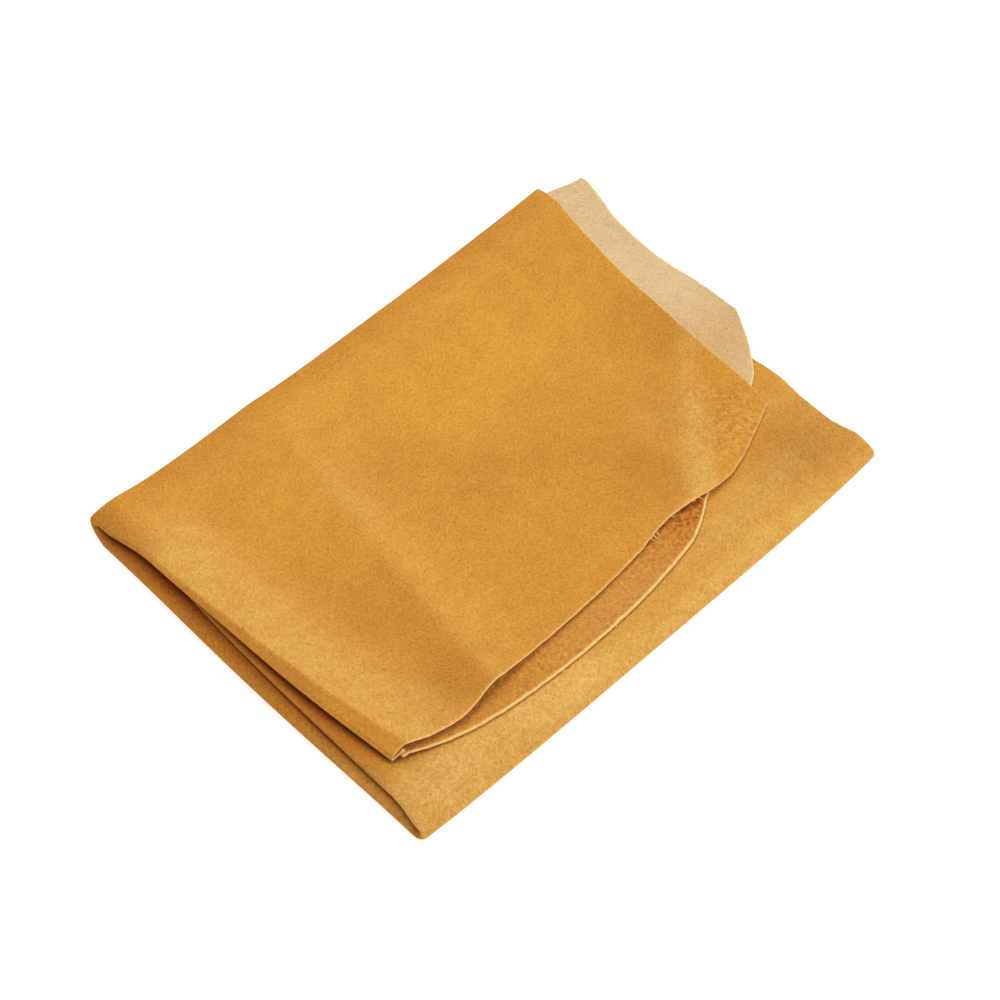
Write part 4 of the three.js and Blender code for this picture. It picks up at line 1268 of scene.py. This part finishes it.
class ChamoisSettings(bpy.types.PropertyGroup):
    """Sizes and colours of the hide."""

    lip_rise: length_setting("Lip rise", "How far the top leaf stands up behind its half fold", 2.7, 6.0)
    ridge_rise: length_setting("Ridge rise", "Height of the soft ridge across the top leaf", 4.0, 6.0)
    streak_rise: length_setting(
        "Streak rise", "Height of the small crease at the top leaf's cut corner", 1.3, 6.0,
    )
    sway: length_setting("Sway", "Size of the slow waves in the top leaf", 0.1, 1.0)
    outer_colour: colour_setting("Outer colour", "Dye on the outer face", 0.485, 0.213, 0.038)
    # The worn colour also serves for painted highlights on slopes that face the light
    worn_and_highlight_colour: colour_setting("Worn colour", "Where the outer face is rubbed pale", 0.575, 0.303, 0.09)
    # Painted shade: the darker, redder colour of the crevices by the top flap's edge
    crevice_shade_colour: colour_setting(
        "Fresh colour", "Where the dye of the outer face hasn't faded", 0.4, 0.125, 0.018,
    )
    inner_colour: colour_setting(
        "Flesh colour", "The flesh face, which took less dye", 0.52, 0.346, 0.186,
    )
    soaked_colour: colour_setting(
        "Soaked colour", "The flesh face where the dye came through", 0.462, 0.2, 0.04,
    )
    stain_colour: colour_setting("Stain colour", "The brown stain on the flesh face", 0.30, 0.085, 0.012)
    cut_colour: colour_setting("Cut colour", "The pale fibre of a cut edge", 0.76, 0.455, 0.175)
    clouds: share_setting("Clouds", "How much the broad clouds lighten and darken the dye", 0.07)
    mottle: share_setting("Mottle", "How much the finer mottle lightens and darkens the dye", 0.045)
    nap_contrast: share_setting(
        "Nap contrast", "How much the nap's fibres lighten and darken the dye", 0.2,
    )
    pebble: share_setting("Pebble", "How much the coarse grain lightens and darkens a worn face", 0.14)
    pores: share_setting("Pores", "How much darker the pores are than the dye round them", 0.14, 1.0)
    nap_height: length_setting("Nap height", "How far the nap's fibres stand up", 0.14, 1.0)
    sheen: share_setting("Sheen", "Soft sheen of the nap", 0.2, 1.0)


class StudioSettings(bpy.types.PropertyGroup):
    """The camera and the lights."""

    azimuth: FloatProperty(
        name="Camera azimuth", description="Where the camera stands round the object",
        default=math.radians(-44.1), subtype="ANGLE", unit="ROTATION",
    )
    elevation: FloatProperty(
        name="Camera elevation", description="How far the camera looks down",
        default=math.radians(54.8), subtype="ANGLE", unit="ROTATION",
    )
    distance: FloatProperty(
        name="Camera distance", description="From the camera to the point that it looks at",
        default=1.1112, min=0.2, subtype="DISTANCE", unit="LENGTH",
    )
    target: FloatVectorProperty(
        name="Camera target", description="The point on the table that the camera looks at",
        default=(0.0025, -0.0042, 0.0), size=3, subtype="TRANSLATION", unit="LENGTH",
    )
    lens: FloatProperty(name="Lens", description="Focal length in millimetres", default=100.0, min=10.0)
    key_power: FloatProperty(
        name="Key light", description="Power of the large light on the right",
        default=22.0, min=0.0, unit="POWER",
    )
    top_power: FloatProperty(
        name="Top light", description="Power of the light overhead",
        default=19.0, min=0.0, unit="POWER",
    )
    sky: FloatProperty(
        name="Sky", description="Strength of the even light all round", default=0.38, min=0.0,
    )
    floor_glow: FloatProperty(
        name="Floor glow", description="Light of the white table from below", default=0.9, min=0.0,
    )
    floor_colour: colour_setting("Floor", "Colour of the floor", 0.93, 0.93, 0.93)


class CHAMOIS_OT_base_panel(bpy.types.Operator):
    """Make the base panel, with its outer leaf, its half fold and its inner leaf."""

    bl_idname = "chamois.base_panel"
    bl_label = "Base panel"

    def execute(self, context):
        piece = leather_piece("base_panel", context.scene.chamois, FAR_SEAM_ROW, NEAR_SEAM_ROW)
        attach(piece, "base")
        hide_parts("base_outer_leaf", "base_inner_leaf", "base_edge_fold")
        return {"FINISHED"}


class CHAMOIS_OT_top_flap(bpy.types.Operator):
    """Make the top flap, with its pinched half fold and the bend over the far fold."""

    bl_idname = "chamois.top_flap"
    bl_label = "Top flap"

    def execute(self, context):
        piece = leather_piece("top_flap", context.scene.chamois, 0, FAR_SEAM_ROW)
        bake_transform(piece)
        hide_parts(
            "top_flap_outer_leaf", "top_flap_inner_leaf", "top_flap_edge_fold",
            "far_fold_outer_bend", "far_fold_inner_bend", "far_fold_edge_bend",
        )
        return {"FINISHED"}


class CHAMOIS_OT_loose_fibres(bpy.types.Operator):
    """Make the loose fibres on the top flap's cut ends."""

    bl_idname = "chamois.loose_fibres"
    bl_label = "Loose fibres"

    def execute(self, context):
        settings = context.scene.chamois
        vertices, faces, flat = fibre_tubes(hide_sheet(settings))
        piece = mapped_piece("loose_fibres", vertices, faces, flat, hide_materials(settings)[2:])
        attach(piece, "top_flap")
        return {"FINISHED"}


class CHAMOIS_OT_tucked_flap(bpy.types.Operator):
    """Make the tucked flap and the bend over the near fold."""

    bl_idname = "chamois.tucked_flap"
    bl_label = "Tucked flap"

    def execute(self, context):
        piece = leather_piece("tucked_flap", context.scene.chamois, NEAR_SEAM_ROW, LAST_ROW)
        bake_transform(piece)
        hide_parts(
            "tucked_flap_outer_leaf", "tucked_flap_inner_leaf", "tucked_flap_edge_fold",
            "near_fold_outer_bend", "near_fold_inner_bend", "near_fold_edge_bend",
        )
        return {"FINISHED"}


class CHAMOIS_OT_studio(bpy.types.Operator):
    """Set up the pale floor, the soft lights and the camera."""

    bl_idname = "chamois.studio"
    bl_label = "Studio"

    def execute(self, context):
        studio = context.scene.chamois_studio
        make_floor(studio)
        make_lights(studio)
        make_camera(studio)
        make_tone(context.scene.view_settings)
        return {"FINISHED"}


def make_floor(studio):
    """A plain pale floor: one large square just under the object."""
    corners = np.array([(-1, -1, 0), (1, -1, 0), (1, 1, 0), (-1, 1, 0)]) * FLOOR_REACH
    mesh = bpy.data.meshes.new("floor")
    mesh.from_pydata(corners - np.array((0, 0, FLOOR_DROP)), [], [(0, 1, 2, 3)])
    material, tree, principled = shader("pale_floor")
    colour = tuple(studio.floor_colour)
    set_inputs(tree, principled, {
        "Base Color": colour, "Roughness": FLOOR_ROUGHNESS, "Specular IOR Level": SPECULAR,
        "Emission Color": colour, "Emission Strength": studio.floor_glow,
    })
    mesh.materials.append(material)
    floor = bpy.data.objects.new("floor", mesh)
    bpy.context.scene.collection.objects.link(floor)


def make_tone(view):
    """A camera's tone curve: a gentle toe, and a shoulder that takes the bright table to white."""
    view.view_transform = "Standard"
    view.use_curve_mapping = True
    mapping = view.curve_mapping
    mapping.use_clip = False
    curve = mapping.curves[COMBINED_CURVE]
    curve.points[-1].location = TONE_CURVE[-1]
    for light, shown in TONE_CURVE[1:-1]:
        curve.points.new(light, shown)
    mapping.update()


def area_light(name, place, size, power):
    """A square soft light at a place, facing the object."""
    light = bpy.data.lights.new(name, "AREA")
    light.shape = "SQUARE"
    light.size = size
    light.energy = power
    lamp = bpy.data.objects.new(name, light)
    lamp.location = place
    lamp.rotation_euler = (-Vector(place)).to_track_quat("-Z", "Y").to_euler()
    bpy.context.scene.collection.objects.link(lamp)


def make_lights(studio):
    """A large key light on the camera's right, a softer one overhead, and even light all round."""
    area_light("key_light", KEY_LIGHT_PLACE, KEY_LIGHT_SIZE, studio.key_power)
    area_light("top_light", TOP_LIGHT_PLACE, TOP_LIGHT_SIZE, studio.top_power)
    world = bpy.data.worlds.new("studio")
    world.use_nodes = True
    background = world.node_tree.nodes["Background"]
    background.inputs["Color"].default_value = (1, 1, 1, 1)
    background.inputs["Strength"].default_value = studio.sky
    bpy.context.scene.world = world


def make_camera(studio):
    """A camera on a sphere round its target, at the photograph's viewing angle."""
    level = math.cos(studio.elevation)
    back = Vector((
        math.sin(studio.azimuth) * level, -math.cos(studio.azimuth) * level, math.sin(studio.elevation),
    ))
    data = bpy.data.cameras.new("camera")
    data.lens = studio.lens
    data.sensor_width = SENSOR_WIDTH
    data.clip_start = CLIP_START
    camera = bpy.data.objects.new("camera", data)
    camera.location = Vector(studio.target) + back * studio.distance
    camera.rotation_euler = (-back).to_track_quat("-Z", "Y").to_euler()
    bpy.context.scene.collection.objects.link(camera)
    bpy.context.scene.camera = camera


OPERATORS = (
    CHAMOIS_OT_base_panel, CHAMOIS_OT_top_flap, CHAMOIS_OT_loose_fibres, CHAMOIS_OT_tucked_flap,
    CHAMOIS_OT_studio,
)


class CHAMOIS_PT_panel(bpy.types.Panel):
    """The hide's pieces, its settings and the studio."""

    bl_idname = "CHAMOIS_PT_panel"
    bl_label = "Folded chamois leather"
    bl_space_type = "VIEW_3D"
    bl_region_type = "UI"
    bl_category = "Chamois"

    def draw(self, context):
        for operator in OPERATORS:
            self.layout.operator(operator.bl_idname)
        for settings in (context.scene.chamois, context.scene.chamois_studio):
            box = self.layout.box()
            for name in settings.bl_rna.properties.keys():
                if name not in {"rna_type", "name"}:
                    box.prop(settings, name)


CLASSES = (ChamoisSettings, StudioSettings, *OPERATORS, CHAMOIS_PT_panel)


def register():
    """Register the classes and hang the settings on the scene."""
    for entry in CLASSES:
        bpy.utils.register_class(entry)
    bpy.types.Scene.chamois = PointerProperty(type=ChamoisSettings)
    bpy.types.Scene.chamois_studio = PointerProperty(type=StudioSettings)


def unregister():
    """Take the settings and the classes away again."""
    del bpy.types.Scene.chamois_studio
    del bpy.types.Scene.chamois
    for entry in reversed(CLASSES):
        bpy.utils.unregister_class(entry)


def main():
    """Make every piece in order."""
    register()
    bpy.ops.chamois.base_panel()
    bpy.ops.chamois.top_flap()
    bpy.ops.chamois.loose_fibres()
    bpy.ops.chamois.tucked_flap()
    bpy.ops.chamois.studio()


if __name__ == "__main__":
    main()
